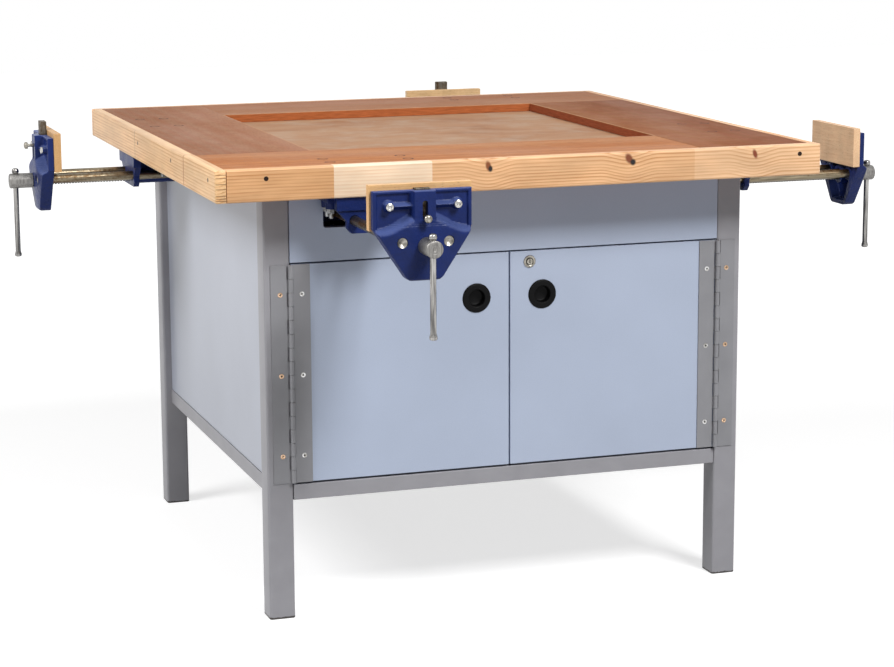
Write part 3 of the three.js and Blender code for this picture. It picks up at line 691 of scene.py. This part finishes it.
def length_property(name, description, default_mm, low_mm, high_mm):
    """A length setting, given in mm and kept in metres."""
    return bpy.props.FloatProperty(
        name=name, description=description, unit="LENGTH", subtype="DISTANCE", precision=4,
        default=default_mm * MM, min=low_mm * MM, max=high_mm * MM)


class BenchTopSettings(bpy.types.PropertyGroup):
    """Sizes and colours of the bench top"""
    board_stain: colour_property("Board stain", "Stain laid over the hardwood boards", "#ffffff")
    lipping_stain: colour_property("Lipping stain", "Stain laid over the pine lippings", "#ffffff")
    edge_radius: length_property("Edge radius", "Rounding of the lippings' outer edges", 4, 1, 8)
    plug_size: length_property("Plug size", "Diameter of the plugs over the vice bolts", 21, 10, 30)


class BenchCabinetSettings(bpy.types.PropertyGroup):
    """Sizes and colours of the frame and the cabinet"""
    panel_colour: colour_property("Panel colour", "Melamine of the doors and walls", "#b0bbd0")
    # The left side's greyer, warmer colour paints the warm light and sheen that side shows.
    side_sheen_colour: colour_property("Side colour", "Melamine of the left side, greyed to paint the warm light and sheen on that side", "#aeb3c0")
    frame_colour: colour_property("Frame colour", "Stove enamel of the legs and rails", "#959499")
    hinge_colour: colour_property("Hinge colour", "Stove enamel of the hinges", "#8a8a8e")
    screw_size: length_property("Hinge screw size", "Diameter of the heads of the hinge screws", 9.5, 4, 12)


class BenchViceSettings(bpy.types.PropertyGroup):
    """Sizes and colours of the vices"""
    enamel_colour: colour_property("Enamel colour", "Paint of the vice castings", "#172659")
    thread_pitch: length_property("Thread pitch", "Distance between the turns of the thread", 6, 3, 12)
    screw_size: length_property("Cheek screw size", "Diameter of the screws that hold the cheek", 14, 8, 16)


class BenchStageSettings(bpy.types.PropertyGroup):
    """Light and floor of the studio"""
    front_power: bpy.props.FloatProperty(
        name="Front light", description="Power of the soft light at the front", unit="POWER",
        default=300, min=0)
    side_power: bpy.props.FloatProperty(
        name="Side light", description="Power of the soft light at the left", unit="POWER",
        default=255, min=0)
    ambient: bpy.props.FloatProperty(
        name="Ambient", description="Strength of the light from all round", default=0.04, min=0, max=2)
    floor_colour: colour_property("Floor colour", "Colour of the studio floor", "#bcbcbc")


class BenchSettings(bpy.types.PropertyGroup):
    """All settings of the bench"""
    top: bpy.props.PointerProperty(name="Top", description="Bench top", type=BenchTopSettings)
    cabinet: bpy.props.PointerProperty(
        name="Cabinet", description="Frame and cabinet", type=BenchCabinetSettings)
    vice: bpy.props.PointerProperty(name="Vices", description="Vices", type=BenchViceSettings)
    stage: bpy.props.PointerProperty(name="Stage", description="Light and floor", type=BenchStageSettings)


# Operators, one for each piece or group of like pieces

class BENCH_OT_boards(bpy.types.Operator):
    """Dress the hardwood boards and the floor of the well"""
    bl_idname = "bench.boards"
    bl_label = "Top boards"

    def execute(self, context):
        stain = context.scene.bench.top.board_stain
        tones = {
            "front": ((0, -420, 640), "#bb8256", "#bb7a49", "#944c28"),
            "right": ((0, -330, 660), "#92592a", "#7d4724", "#904b30"),
            "back": ((0, 520, 700), "#a97958", "#a07152", "#b0653c"),
            "left": ((0, 330, 640), "#a87758", "#92664a", "#944c28"),
        }
        for side, tone in tones.items():
            wood = hardwood(f"oiled hardwood, {side} board", side in HANDS, stain, *tone)
            dress_node(f"{side}_top_board", wood, 0.8)
        dress_node("well_floor", well_board())
        return {"FINISHED"}


class BENCH_OT_lippings(bpy.types.Operator):
    """Shape the four lippings: a rounded section carried along the side, its end eased round the corner"""
    bl_idname = "bench.lippings"
    bl_label = "Lippings"

    def execute(self, context):
        settings = context.scene.bench.top
        deep, fair, pale = ("#e8b685", "#be7d43"), ("#eebe90", "#c2834c"), ("#f4c99e", "#cc925e")
        front_knots = [
            (-83, 866, 7, 13, -15, "#834826"), (-79, 861, 5.5, 7.5, 0, "#0e0604"),
            (198, 868, 9, 14, -30, "#7c4226"), (206, 861, 7.5, 8, 0, "#0a0403"),
            (459, 866, 6, 12, -20, "#7e3b22")]
        # Dark spots for the left lipping's sunk screws: the shade in their holes is painted on.
        left_marks = [(y, 857, 6, 5.5, 0, "#3a2214") for y in (86, -229, -543)]
        left_marks += [(117, 850, 1.6, 60, 0, "#8a5c36"), (-341, 850, 4, 60, 0, "#b4774a")]
        left_marks += [(-601, z, 4.5, 1.1, 0, "#9a6c42") for z in (825, 829, 834, 846, 855, 866, 872)]
        woods = {
            "front": ((0, -560, 690), [
                (-600, *deep), (-383, "#fbe2c6", "#ecc49b"), (-193, "#efc092", "#c4864f"),
                (330, "#f7cca1", "#ce9562")], front_knots),
            "right": ((0, -560, 690), [(-600, *fair), (-300, *pale), (150, *deep)], []),
            "back": ((0, 560, 690), [(-600, *pale), (-250, *deep), (260, *fair)], []),
            "left": ((0, 560, 690), [
                (-600, "#f6ce9c", "#c98c50"), (-341, "#f4cc9c", "#c5864a"), (117, "#f4cc9c", "#c98f58")],
                left_marks),
        }
        for side, wood in woods.items():
            rings = self.rail(*local_box(f"{side}_lipping", side), settings.edge_radius / MM)
            finish = pine(f"lacquered pine, {side} lipping", side in HANDS, settings.lipping_stain, *wood)
            make_piece(f"{side}_lipping_wood", [rings], finish, "bench", [f"{side}_lipping"], side)
        return {"FINISHED"}

    def rail(self, low, high, radius, corner=6, chamfer=0.6, butt_gap=0.9):
        """The section, rounded outside only, drawn in by a chamfer at one end and an arc at the other."""
        section = rounded(low[1:], (high[1] + radius, high[2]), radius)
        section[:, 0] = np.minimum(section[:, 0], high[1])
        turn = np.linspace(0, math.pi / 2, 7)
        butt = low[0] + butt_gap + np.array((0, chamfer))
        along = np.concatenate([butt, high[0] - corner + corner * np.sin(turn)])
        inset = np.concatenate([(chamfer, 0), corner * (1 - np.cos(turn))])[:, None]
        across = high[1] + (section[:, 0] - high[1]) * (1 - inset / (high[1] - low[1]))
        middle = (low[2] + high[2]) / 2
        upright = middle + (section[:, 1] - middle) * (1 - inset / 4 / (high[2] - middle))
        return capped(np.stack([np.repeat(along[:, None], len(section), 1), across, upright], -1))


class BENCH_OT_frame(bpy.types.Operator):
    """Shape the tube legs and dress the rails and the cabinet floor"""
    bl_idname = "bench.frame"
    bl_label = "Frame"

    def execute(self, context):
        paint = frame_paint("grey stove enamel", context.scene.bench.cabinet.frame_colour)
        corner_radius, foot_chamfer, foot_share = 5, 0.8, 0.97
        for corner in ("front_left", "front_right", "back_left", "back_right"):
            low, high = local_box(f"{corner}_leg")
            outline = rounded(low[:2], high[:2], corner_radius)
            middle = (low[:2] + high[:2]) / 2
            tube = prism(outline, (0, foot_chamfer, high[2]))
            tube[1, :, :2] = middle + (outline - middle) * foot_share
            make_piece(f"{corner}_leg_tube", [tube], paint, "bench", [f"{corner}_leg"])
        for node, bevel in (("front_rail", 1.5), ("back_rail", 1.5), ("cabinet_floor", 0.5)):
            dress_node(node, paint, bevel)
        return {"FINISHED"}


class BENCH_OT_cabinet(bpy.types.Operator):
    """Dress the doors and the walls of the cabinet"""
    bl_idname = "bench.cabinet"
    bl_label = "Cabinet"

    def execute(self, context):
        settings = context.scene.bench.cabinet
        facing = laminate("pale blue melamine", settings.panel_colour)
        for node in ("fascia_panel", "right_panel", "back_panel", "left_door", "right_door"):
            dress_node(node, facing, 0.7)
        # The left panel gets its own colour, which paints the warm light and sheen on that side.
        dress_node("left_panel", laminate("melamine with painted sheen, left side", settings.side_sheen_colour), 0.7)
        return {"FINISHED"}


class BENCH_OT_hinges(bpy.types.Operator):
    """Shape the piano hinges: leaf plates, rolled knuckles and the heads of their screws"""
    bl_idname = "bench.hinges"
    bl_label = "Hinges"

    thickness = 2
    screw_heights = (628, 473.5, 318.5)
    head_height = 1.2

    def execute(self, context):
        settings = context.scene.bench.cabinet
        radius = settings.screw_size / MM / 2
        paint = frame_paint("grey stove enamel, hinges", settings.hinge_colour)
        heads = {"frame": plated("brass-plated screws", "#d2b297", "#a08468", 0.3),
                 "door": plated("zinc screws", "#d8d8d8", "#8f8c86", 0.3)}
        pin = plated("bright steel pin", "#b8b4ac", "#8f8c86", 0.35)
        # Painted shade for the recesses in the screw heads.
        recess_shade = shaded("painted shade in the screw recesses", "#2a2622", "#151210", 2, 0.6)
        for name, hand in HANDS.items():
            dress_node(f"{name}_hinge_pin", pin)
            axis = middle_of(f"{name}_hinge_pin")
            parts = (("frame", hand, "bench", 20), ("door", -hand, f"{name}_door", 22))
            for part, away, body, reach in parts:
                leaf = f"{name}_hinge_{part}"
                low, high = local_box(f"{leaf}_leaf")
                x, face = axis[0] + away * reach, high[1] - self.thickness
                make_piece(f"{leaf}_steel", self.leaf(axis, away, low, high, part == "frame"), paint, body,
                           [f"{leaf}_leaf"], bevel=0.3)
                screws = [screw_head((x, face, z), OUT, radius, self.head_height) for z in self.screw_heights]
                make_piece(f"{leaf}_screws", screws, heads[part], body)
                # Dark crosses laid in the heads' recesses are painted shade, where the recesses lie in
                # shadow.
                crown = face - self.head_height
                arms = [block((x - wide, crown, z - tall), (x + wide, crown + 0.3, z + tall))
                        for z in self.screw_heights for wide, tall in ((0.55, 2.1), (2.1, 0.55))]
                make_piece(f"{leaf}_recesses", arms, recess_shade, body)
        return {"FINISHED"}

    def leaf(self, axis, away, low, high, framed, knuckles=16, end_play=0.3, sunk=0.05):
        """A plate, and every other knuckle: a short lathed roll, tied to the plate by a tab sunk a little.

        The frame's plate starts further out, which leaves a dark gap beside the door's knuckles."""
        face = high[1] - self.thickness
        plate_start, tab_end = 7.4 if framed else 5.8, 7.6
        near, far = sorted((axis[0] + away * plate_start, low[0] if away < 0 else high[0]))
        shapes = [block((near, face, low[2]), (far, high[1], high[2]))]
        pitch = (high[2] - low[2]) / knuckles
        length = pitch - 2 * end_play
        roll = [(0, 0), (4.2, 0), (4.7, 0.5), (4.7, length - 0.5), (4.2, length), (0, length)]
        near, far = sorted((axis[0], axis[0] + away * tab_end))
        for start in low[2] + pitch * np.arange(0 if framed else 1, knuckles, 2) + end_play:
            shapes.append(turned(roll, (*axis[:2], start), UP, 24))
            shapes.append(block((near, face + sunk, start), (far, high[1] - sunk, start + length)))
        return shapes


class BENCH_OT_door_furniture(bpy.types.Operator):
    """Shape the finger pulls and the lock's barrel, and dress its plug"""
    bl_idname = "bench.door_furniture"
    bl_label = "Pulls and lock"

    def execute(self, context):
        nylon = black_plastic()
        # The chrome's darker, clouded tones are painted reflections of grey and brown surroundings.
        chrome_painted = plated("chromed lock with painted reflections", "#a39f97", "#6a655b", 0.24)
        cup = [(0, -12.5), (12.5, -12.5), (14.6, -11.2), (16.2, 0), (16.5, 1.4), (17.2, 2.2), (18.4, 2.5),
               (25.2, 2.5), (27.2, 2.0), (28.2, 1.0), (28.5, 0), (19.5, 0), (19.5, -15), (0, -15)]
        ring = [(6.8, -19), (9.5, -19), (9.5, 0), (12, 0), (12, 1.2), (11.2, 2.0), (8.2, 2.0), (7.2, 1.4),
                (6.8, 0.6), (6.8, -19)]
        for name in HANDS:
            shape = self.let_in(cup, f"{name}_finger_pull", 64)
            make_piece(f"{name}_pull_cup", [shape], nylon, f"{name}_door",
                       [f"{name}_finger_pull"])
        shape = self.let_in(ring, "lock_barrel", 48)
        make_piece("lock_barrel_ring", [shape], chrome_painted, "right_door", ["lock_barrel"])
        dress_node("lock_plug", chrome_painted, 0.3)
        return {"FINISHED"}

    def let_in(self, profile, node, sides):
        """A lathed profile in a node's place, with its flange's front where the node's is."""
        seat = local_box(node)[0][1] + max(along for _, along in profile)
        x, _, z = middle_of(node)
        return turned(profile, (x, seat, z), OUT, sides)


class BENCH_OT_vice_bodies(bpy.types.Operator):
    """Dress the fixed vice castings and set the pads and hex bolts that hold them under the top"""
    bl_idname = "bench.vice_bodies"
    bl_label = "Fixed vice castings"

    def execute(self, context):
        enamel = vice_enamel(context.scene.bench.vice.enamel_colour)
        zinc = plated("zinc hex bolts", "#9c9ea0", "#6c6a66", 0.4)
        nut = [(0, 0), (9, 0), (9, 1.6), (7.6, 1.6), (7.6, 7.6), (6.6, 8.4), (0, 8.4)]
        stud = [(0, 0), (4.4, 0), (4.4, 17), (3.6, 18), (0, 18)]
        pad = [(0, -16.5), (12, -16.5), (10.5, 0), (0, 0)]
        bolt_offsets, bolt_rows, pad_underside = (-70, 70), (70, 98), 791.5
        for side in SIDES:
            dress_node(f"{side}_vice_body", enamel, 1.5)
            x, _ = vice_place(side)
            spots = [(x + u, TOP_EDGE + y, pad_underside) for u in bolt_offsets for y in bolt_rows]
            pads = [turned(pad, spot, DOWN, 24) for spot in spots]
            make_piece(f"{side}_bolt_pads", pads, enamel, "bench", (), side)
            bolts = [turned(nut, spot, DOWN, 6) for spot in spots]
            bolts += [turned(stud, spot, DOWN, 20) for spot in spots]
            make_piece(f"{side}_vice_bolts", bolts, zinc, "bench", (), side, sharp=20)
        return {"FINISHED"}


class BENCH_OT_vice_jaws(bpy.types.Operator):
    """Shape the moving jaw castings"""
    bl_idname = "bench.vice_jaws"
    bl_label = "Jaw castings"

    def execute(self, context):
        enamel = vice_enamel(context.scene.bench.vice.enamel_colour)
        for side in SIDES:
            x, grip = vice_place(side)
            make_piece(f"{side}_jaw_casting", [jaw_casting(x, grip - JAW_BACK)], enamel, f"{side}_jaw",
                       [f"{side}_vice_jaw"], side, sharp=55)
        return {"FINISHED"}


class BENCH_OT_vice_cheeks(bpy.types.Operator):
    """Dress the wooden cheeks and set the round-headed screws that hold them"""
    bl_idname = "bench.vice_cheeks"
    bl_label = "Cheeks"

    def execute(self, context):
        bright = plated("bright round-headed screws", "#d3d2cf", "#9a9792", 0.25)
        radius = context.scene.bench.vice.screw_size / MM / 2
        # The right cheek's tones are the palest: they paint in light that its face gets too little of.
        tones = {"front": ("#ecc08a", "#d7a56a"), "right": ("#f0cca4", "#dfb38b"),
                 "back": ("#e8c596", "#d6ab78"), "left": ("#d8ae7b", "#c4955d")}
        for side, tone in tones.items():
            x, grip = vice_place(side)
            wood = beech(f"lacquered beech, {side} cheek", side in HANDS, *tone)
            dress_node(f"{side}_vice_cheek", wood, 1.2)
            seat = grip - JAW_BACK - BOSS_DEPTH + 0.3
            heads = [screw_head((x + u, seat, CHEEK_SCREW[1]), OUT, radius, 4.5)
                     for u in (-CHEEK_SCREW[0], CHEEK_SCREW[0])]
            make_piece(f"{side}_cheek_screws", heads, bright, f"{side}_jaw", (), side)
        return {"FINISHED"}


class BENCH_OT_vice_steel(bpy.types.Operator):
    """Shape the guide rods with their tie plates, the screws and the tommy bars"""
    bl_idname = "bench.vice_steel"
    bl_label = "Rods, screws and bars"

    tail = 440.0
    rod_tail = 460.0
    tie_corner, tie_thickness = 8, 10
    thread_front = -46.5
    thread_radius, thread_depth = 11, 2.0

    def execute(self, context):
        pitch = context.scene.bench.vice.thread_pitch / MM
        shaft = [(0, -self.rod_tail), (8, -self.rod_tail), (9, 1 - self.rod_tail), (9, 37), (0, 37)]
        dish = [(0, 35), (9.25, 35), (9.25, 42.1), (8.8, 42.7), (8.2, 42.4), (3.4, 38.6), (0, 37.9)]
        boss = [(0, 93.6), (3, 93.6), (4, 94.4), (8, 94.4), (8.6, 94.9), (13.2, 94.9), (14.6, 94.3),
                (15.5, 92.8), (15.5, 47.4), (14.9, 46.8), (0, 46.8)]
        bar = [(0, 0), (4.6, 0), (6.2, 0.7), (7.4, 3), (7.1, 6), (6.2, 9), (5.5, 12), (5.5, 174.6),
               (5.9, 175.4), (7.2, 176.4), (7.5, 178.5), (7.2, 181.5), (6, 184.2), (3.6, 185.6), (0, 186)]
        for side in SIDES:
            x, grip = vice_place(side)
            run = "X" if side in HANDS else "Y"
            oiled = steel(f"oiled steel, {side} rods", "#968a74", "#5e5545", "#54391a", 0.42, 0.28, run)
            greasy = steel(f"greasy steel, {side} thread", "#6e6656", "#39332a", "#2a2219", 0.45, 0.38, run)
            bright = plated(f"polished steel, {side} rod ends", "#a5a199", "#78746c", 0.36)
            boss_steel = steel(f"turned steel, {side} boss", "#908e8b", "#6b6967", "#625b50", 0.2, 0.46, "Z")
            # The bar's strong dark and pale streaks along it are painted reflections, the lines a glossy
            # round bar shows, over its tool marks.
            bar_streaked_steel = steel(f"drawn steel, {side} bar", "#aba9a6", "#4a4847", "#5a5247", 0.2, 0.2, "Z")

            places = [(x + u, grip, ROD_Z) for u in (-ROD_X, ROD_X)]
            low, high = local_box(f"{side}_vice_guide_rods", side)
            tie = rounded(low[[0, 2]], high[[0, 2]], self.tie_corner)
            tie = prism(tie, (high[1] - self.tie_thickness, high[1]), (0, 2, 1))
            rods = [turned(shaft, place, OUT, 40) for place in places]
            make_piece(f"{side}_guide_rods", [*rods, tie], oiled, f"{side}_jaw",
                       [f"{side}_vice_guide_rods"], side, bevel=0.4)
            ends = [turned(dish, place, OUT, 40) for place in places]
            make_piece(f"{side}_rod_ends", ends, bright, f"{side}_jaw", (), side)

            head = turned(boss, (x, grip, SCREW_Z), OUT, 64)
            make_piece(f"{side}_screw_boss", [head], boss_steel, f"{side}_screw",
                       [f"{side}_vice_screw"], side)
            make_piece(f"{side}_screw_thread", [self.thread(x, grip, pitch)], greasy, f"{side}_screw",
                       (), side)

            node = f"{side}_vice_tommy_bar"
            foot = (x, middle_of(node, side)[1], local_box(node, side)[0][2])
            make_piece(f"{side}_tommy_bar_steel", [turned(bar, foot, UP, 40)], bar_streaked_steel, f"{side}_bar",
                       [node], side, sharp=50)
        return {"FINISHED"}

    def thread(self, x, grip, pitch):
        """Trapezoid thread: the radius at (y, t) dips where y / pitch - t / turn is near a whole number."""
        y = np.arange(self.thread_front, self.tail, pitch / 8)[:, None]
        t = np.linspace(0, 2 * math.pi, 40, endpoint=False)[None, :]
        wave = np.abs(2 * np.mod(y / pitch - t / (2 * math.pi), 1) - 1)
        cut = np.clip((wave - 0.25) / 0.4, 0, 1) * step(y, -10, 0) * self.thread_depth
        radius = np.minimum(self.thread_radius - cut, 8 + 0.8 * np.maximum(self.tail - y, 0))
        return capped(np.stack([x + radius * np.cos(t), grip + y + 0 * t, SCREW_Z + radius * np.sin(t)], -1))


class BENCH_OT_vice_dogs(bpy.types.Operator):
    """Shape the steel dogs and the thumb screws that clamp them"""
    bl_idname = "bench.vice_dogs"
    bl_label = "Dogs"

    def execute(self, context):
        dark = steel("blued dog steel", "#7c766c", "#4d4841", "#4a3a28", 0.5, 0.45, "Z")
        bright = plated("bright thumb screws", "#aaa69d", "#6e685d", 0.3)
        thickness, screw_height = 12.6, 10
        thumb = [(0, 11), (3.2, 11), (3.2, 39), (6.2, 39), (7.2, 39.8), (7.2, 43.6), (6.4, 45.4), (4, 46.7),
                 (0, 47)]
        for side in SIDES:
            x, grip = vice_place(side)
            node = f"{side}_vice_dog"
            low, high = local_box(node, side)
            blade = block((low[0], high[1] - thickness, low[2]), high)
            make_piece(f"{side}_dog_steel", [blade], dark, f"{side}_dog", [node], side,
                       bevel=0.6)
            clamp = turned(thumb, (x, grip - JAW_BACK, low[2] + screw_height), OUT, 40)
            make_piece(f"{side}_dog_thumb_screw", [clamp], bright, f"{side}_dog", (), side)
        return {"FINISHED"}


class BENCH_OT_fasteners(bpy.types.Operator):
    """Set the sunk screws of the lippings and the plugs over the vice bolts"""
    bl_idname = "bench.fasteners"
    bl_label = "Plugs and lipping screws"

    def execute(self, context):
        radius = context.scene.bench.top.plug_size / MM / 2
        core = radius - 3
        plug_offsets, plug_rows = (-75, 75), (55, 106)
        screw_places, screw_height = (-506, 554), 862
        # Flat dark discs for the lippings' sunk screws: the shade in their holes is painted on.
        sunk_screw_shade = shaded("dark sunk screw with painted counterbore shade", "#33211a", "#1d120d", 3, 0.7)
        # The dark ring round each plug is its glue line, widened by painted shade as if it lay in a gap.
        glue_line_and_gap_shade = shaded("glue line and painted gap shade of a plug", "#64351f", "#240f08", 16, 0.6)
        sunk = [(0, 0.12), (3.4, 0.12), (4.4, 0.1), (4.6, -0.5), (0, -0.5)]
        rim = [(core, 0.1), (radius, 0.1), (radius, -0.5), (core, -0.5), (core, 0.1)]
        disc = [(0, 0.05), (core - 0.1, 0.05), (core, -0.5), (0, -0.5)]
        for side in SIDES:
            if side != "left":
                heads = [turned(sunk, (x, TOP_EDGE, screw_height), OUT, 24) for x in screw_places]
                make_piece(f"{side}_lipping_screws", heads, sunk_screw_shade, "bench", (), side)
            x, _ = vice_place(side)
            spots = [(x + u, TOP_EDGE + y, TOP_FACE) for u in plug_offsets for y in plug_rows]
            wood = bpy.data.materials[f"oiled hardwood, {side} board"]
            for name, profile, finish in (("plug_rims", rim, glue_line_and_gap_shade), ("plugs", disc, wood)):
                make_piece(f"{side}_{name}", [turned(profile, spot, UP, 40) for spot in spots], finish,
                           "bench", (), side)
        return {"FINISHED"}


class BENCH_OT_stage(bpy.types.Operator):
    """Set up the floor, the soft lights, the white surroundings and the camera"""
    bl_idname = "bench.stage"
    bl_label = "Stage"

    def execute(self, context):
        settings, scene = context.scene.bench.stage, context.scene
        scene.view_settings.view_transform = "Standard"
        self.floor(scene, settings)
        self.light(scene, "front softbox", 18, 42, 1.6, settings.front_power)
        self.light(scene, "left softbox", -78, 38, 2.4, settings.side_power)
        self.surroundings(scene, settings)
        camera = bpy.data.objects.new("camera", bpy.data.cameras.new("camera"))
        camera.data.sensor_width = 36
        camera.data.sensor_fit = "HORIZONTAL"
        camera.data.lens = CAMERA_LENS
        camera.data.clip_end = 100
        turn = Matrix.Rotation(math.radians(-CAMERA_YAW), 4, "Z")
        turn = turn @ Matrix.Rotation(math.radians(90 - CAMERA_PITCH), 4, "X")
        turn = turn @ Matrix.Rotation(math.radians(-CAMERA_ROLL), 4, "Z")
        camera.matrix_world = Matrix.Translation(CAMERA_PLACE) @ turn
        scene.collection.objects.link(camera)
        scene.camera = camera
        return {"FINISHED"}

    def floor(self, scene, settings, reach=12.0):
        """A level sheet of paper, lit up to white away from the bench so that only its shadow shows."""
        mesh = bpy.data.meshes.new("studio_floor")
        corners = [(-reach, -reach, 0), (reach, -reach, 0), (reach, reach, 0), (-reach, reach, 0)]
        mesh.from_pydata(corners, [], [(0, 1, 2, 3)])
        paper, tree, coords = blank("pale studio paper")
        cloud = add(tree, "TexNoise", {"Vector": coords, "Scale": 0.5})
        tint = add(tree, "Mix", {0: cloud, 6: settings.floor_colour, 7: "#bbbbbb"}, 2, **COLOUR)
        away = add(tree, "VectorMath", {0: coords}, 1, operation="LENGTH")
        glow = {"Value": away, "From Min": 1.6, "From Max": 4.0, "To Min": 0.7, "To Max": 1.0}
        glow = add(tree, "MapRange", glow, **SMOOTH)
        glow = add(tree, "Math", {0: glow, 1: white_rays(tree)}, operation="MULTIPLY")
        finished(paper, tint, 0.9, others={"Emission Color": "#ffffff", "Emission Strength": glow})
        mesh.materials.append(paper)
        floor = bpy.data.objects.new("studio_floor", mesh)
        scene.collection.objects.link(floor)

    def light(self, scene, name, azimuth, elevation, size, power):
        """A square soft light six metres from the bench, turned round it and raised by so many degrees."""
        lamp = bpy.data.lights.new(name, "AREA")
        lamp.size = size
        lamp.energy = power
        box = bpy.data.objects.new(name, lamp)
        turn = Matrix.Rotation(math.radians(azimuth), 4, "Z")
        turn = turn @ Matrix.Rotation(math.radians(90 - elevation), 4, "X")
        box.matrix_world = Matrix.Translation((0, 0, 0.6)) @ turn @ Matrix.Translation((0, 0, 6))
        scene.collection.objects.link(box)

    def surroundings(self, scene, settings):
        """White to the camera and in reflections, a soft light to everything else."""
        world = bpy.data.worlds.new("white studio")
        world.use_nodes = True
        tree = world.node_tree
        tree.nodes.clear()
        dim = add(tree, "Background", {"Color": "#ffffff", "Strength": settings.ambient})
        white = add(tree, "Background", {"Color": "#ffffff", "Strength": 1.0})
        both = add(tree, "MixShader", {0: white_rays(tree), 1: dim, 2: white})
        add(tree, "OutputWorld", {"Surface": both})
        scene.world = world


class BENCH_PT_sidebar(bpy.types.Panel):
    """Settings and steps of the bench"""
    bl_idname = "BENCH_PT_sidebar"
    bl_label = "Workshop bench"
    bl_space_type = "VIEW_3D"
    bl_region_type = "UI"
    bl_category = "Bench"

    def draw(self, context):
        bench = context.scene.bench
        for group in (bench.top, bench.cabinet, bench.vice, bench.stage):
            box = self.layout.box()
            for key in group.__annotations__:
                box.prop(group, key)
        for operator in OPERATORS:
            self.layout.operator(operator.bl_idname)


OPERATORS = (
    BENCH_OT_boards, BENCH_OT_lippings, BENCH_OT_frame, BENCH_OT_cabinet, BENCH_OT_hinges,
    BENCH_OT_door_furniture, BENCH_OT_vice_bodies, BENCH_OT_vice_jaws, BENCH_OT_vice_cheeks,
    BENCH_OT_vice_steel, BENCH_OT_vice_dogs, BENCH_OT_fasteners, BENCH_OT_stage,
)
GROUPS = (BenchTopSettings, BenchCabinetSettings, BenchViceSettings, BenchStageSettings, BenchSettings)


def register():
    """Adds the settings, the operators and the panel."""
    for kind in (*GROUPS, *OPERATORS, BENCH_PT_sidebar):
        bpy.utils.register_class(kind)
    bpy.types.Scene.bench = bpy.props.PointerProperty(
        name="Bench", description="Workshop bench", type=BenchSettings)


def unregister():
    """Takes them away again."""
    del bpy.types.Scene.bench
    for kind in reversed((*GROUPS, *OPERATORS, BENCH_PT_sidebar)):
        bpy.utils.unregister_class(kind)


def main():
    """Builds the looks, step by step."""
    register()
    bpy.ops.bench.boards()
    bpy.ops.bench.lippings()
    bpy.ops.bench.frame()
    bpy.ops.bench.cabinet()
    bpy.ops.bench.hinges()
    bpy.ops.bench.door_furniture()
    bpy.ops.bench.vice_bodies()
    bpy.ops.bench.vice_jaws()
    bpy.ops.bench.vice_cheeks()
    bpy.ops.bench.vice_steel()
    bpy.ops.bench.vice_dogs()
    bpy.ops.bench.fasteners()
    bpy.ops.bench.stage()


if __name__ == "__main__":
    main()
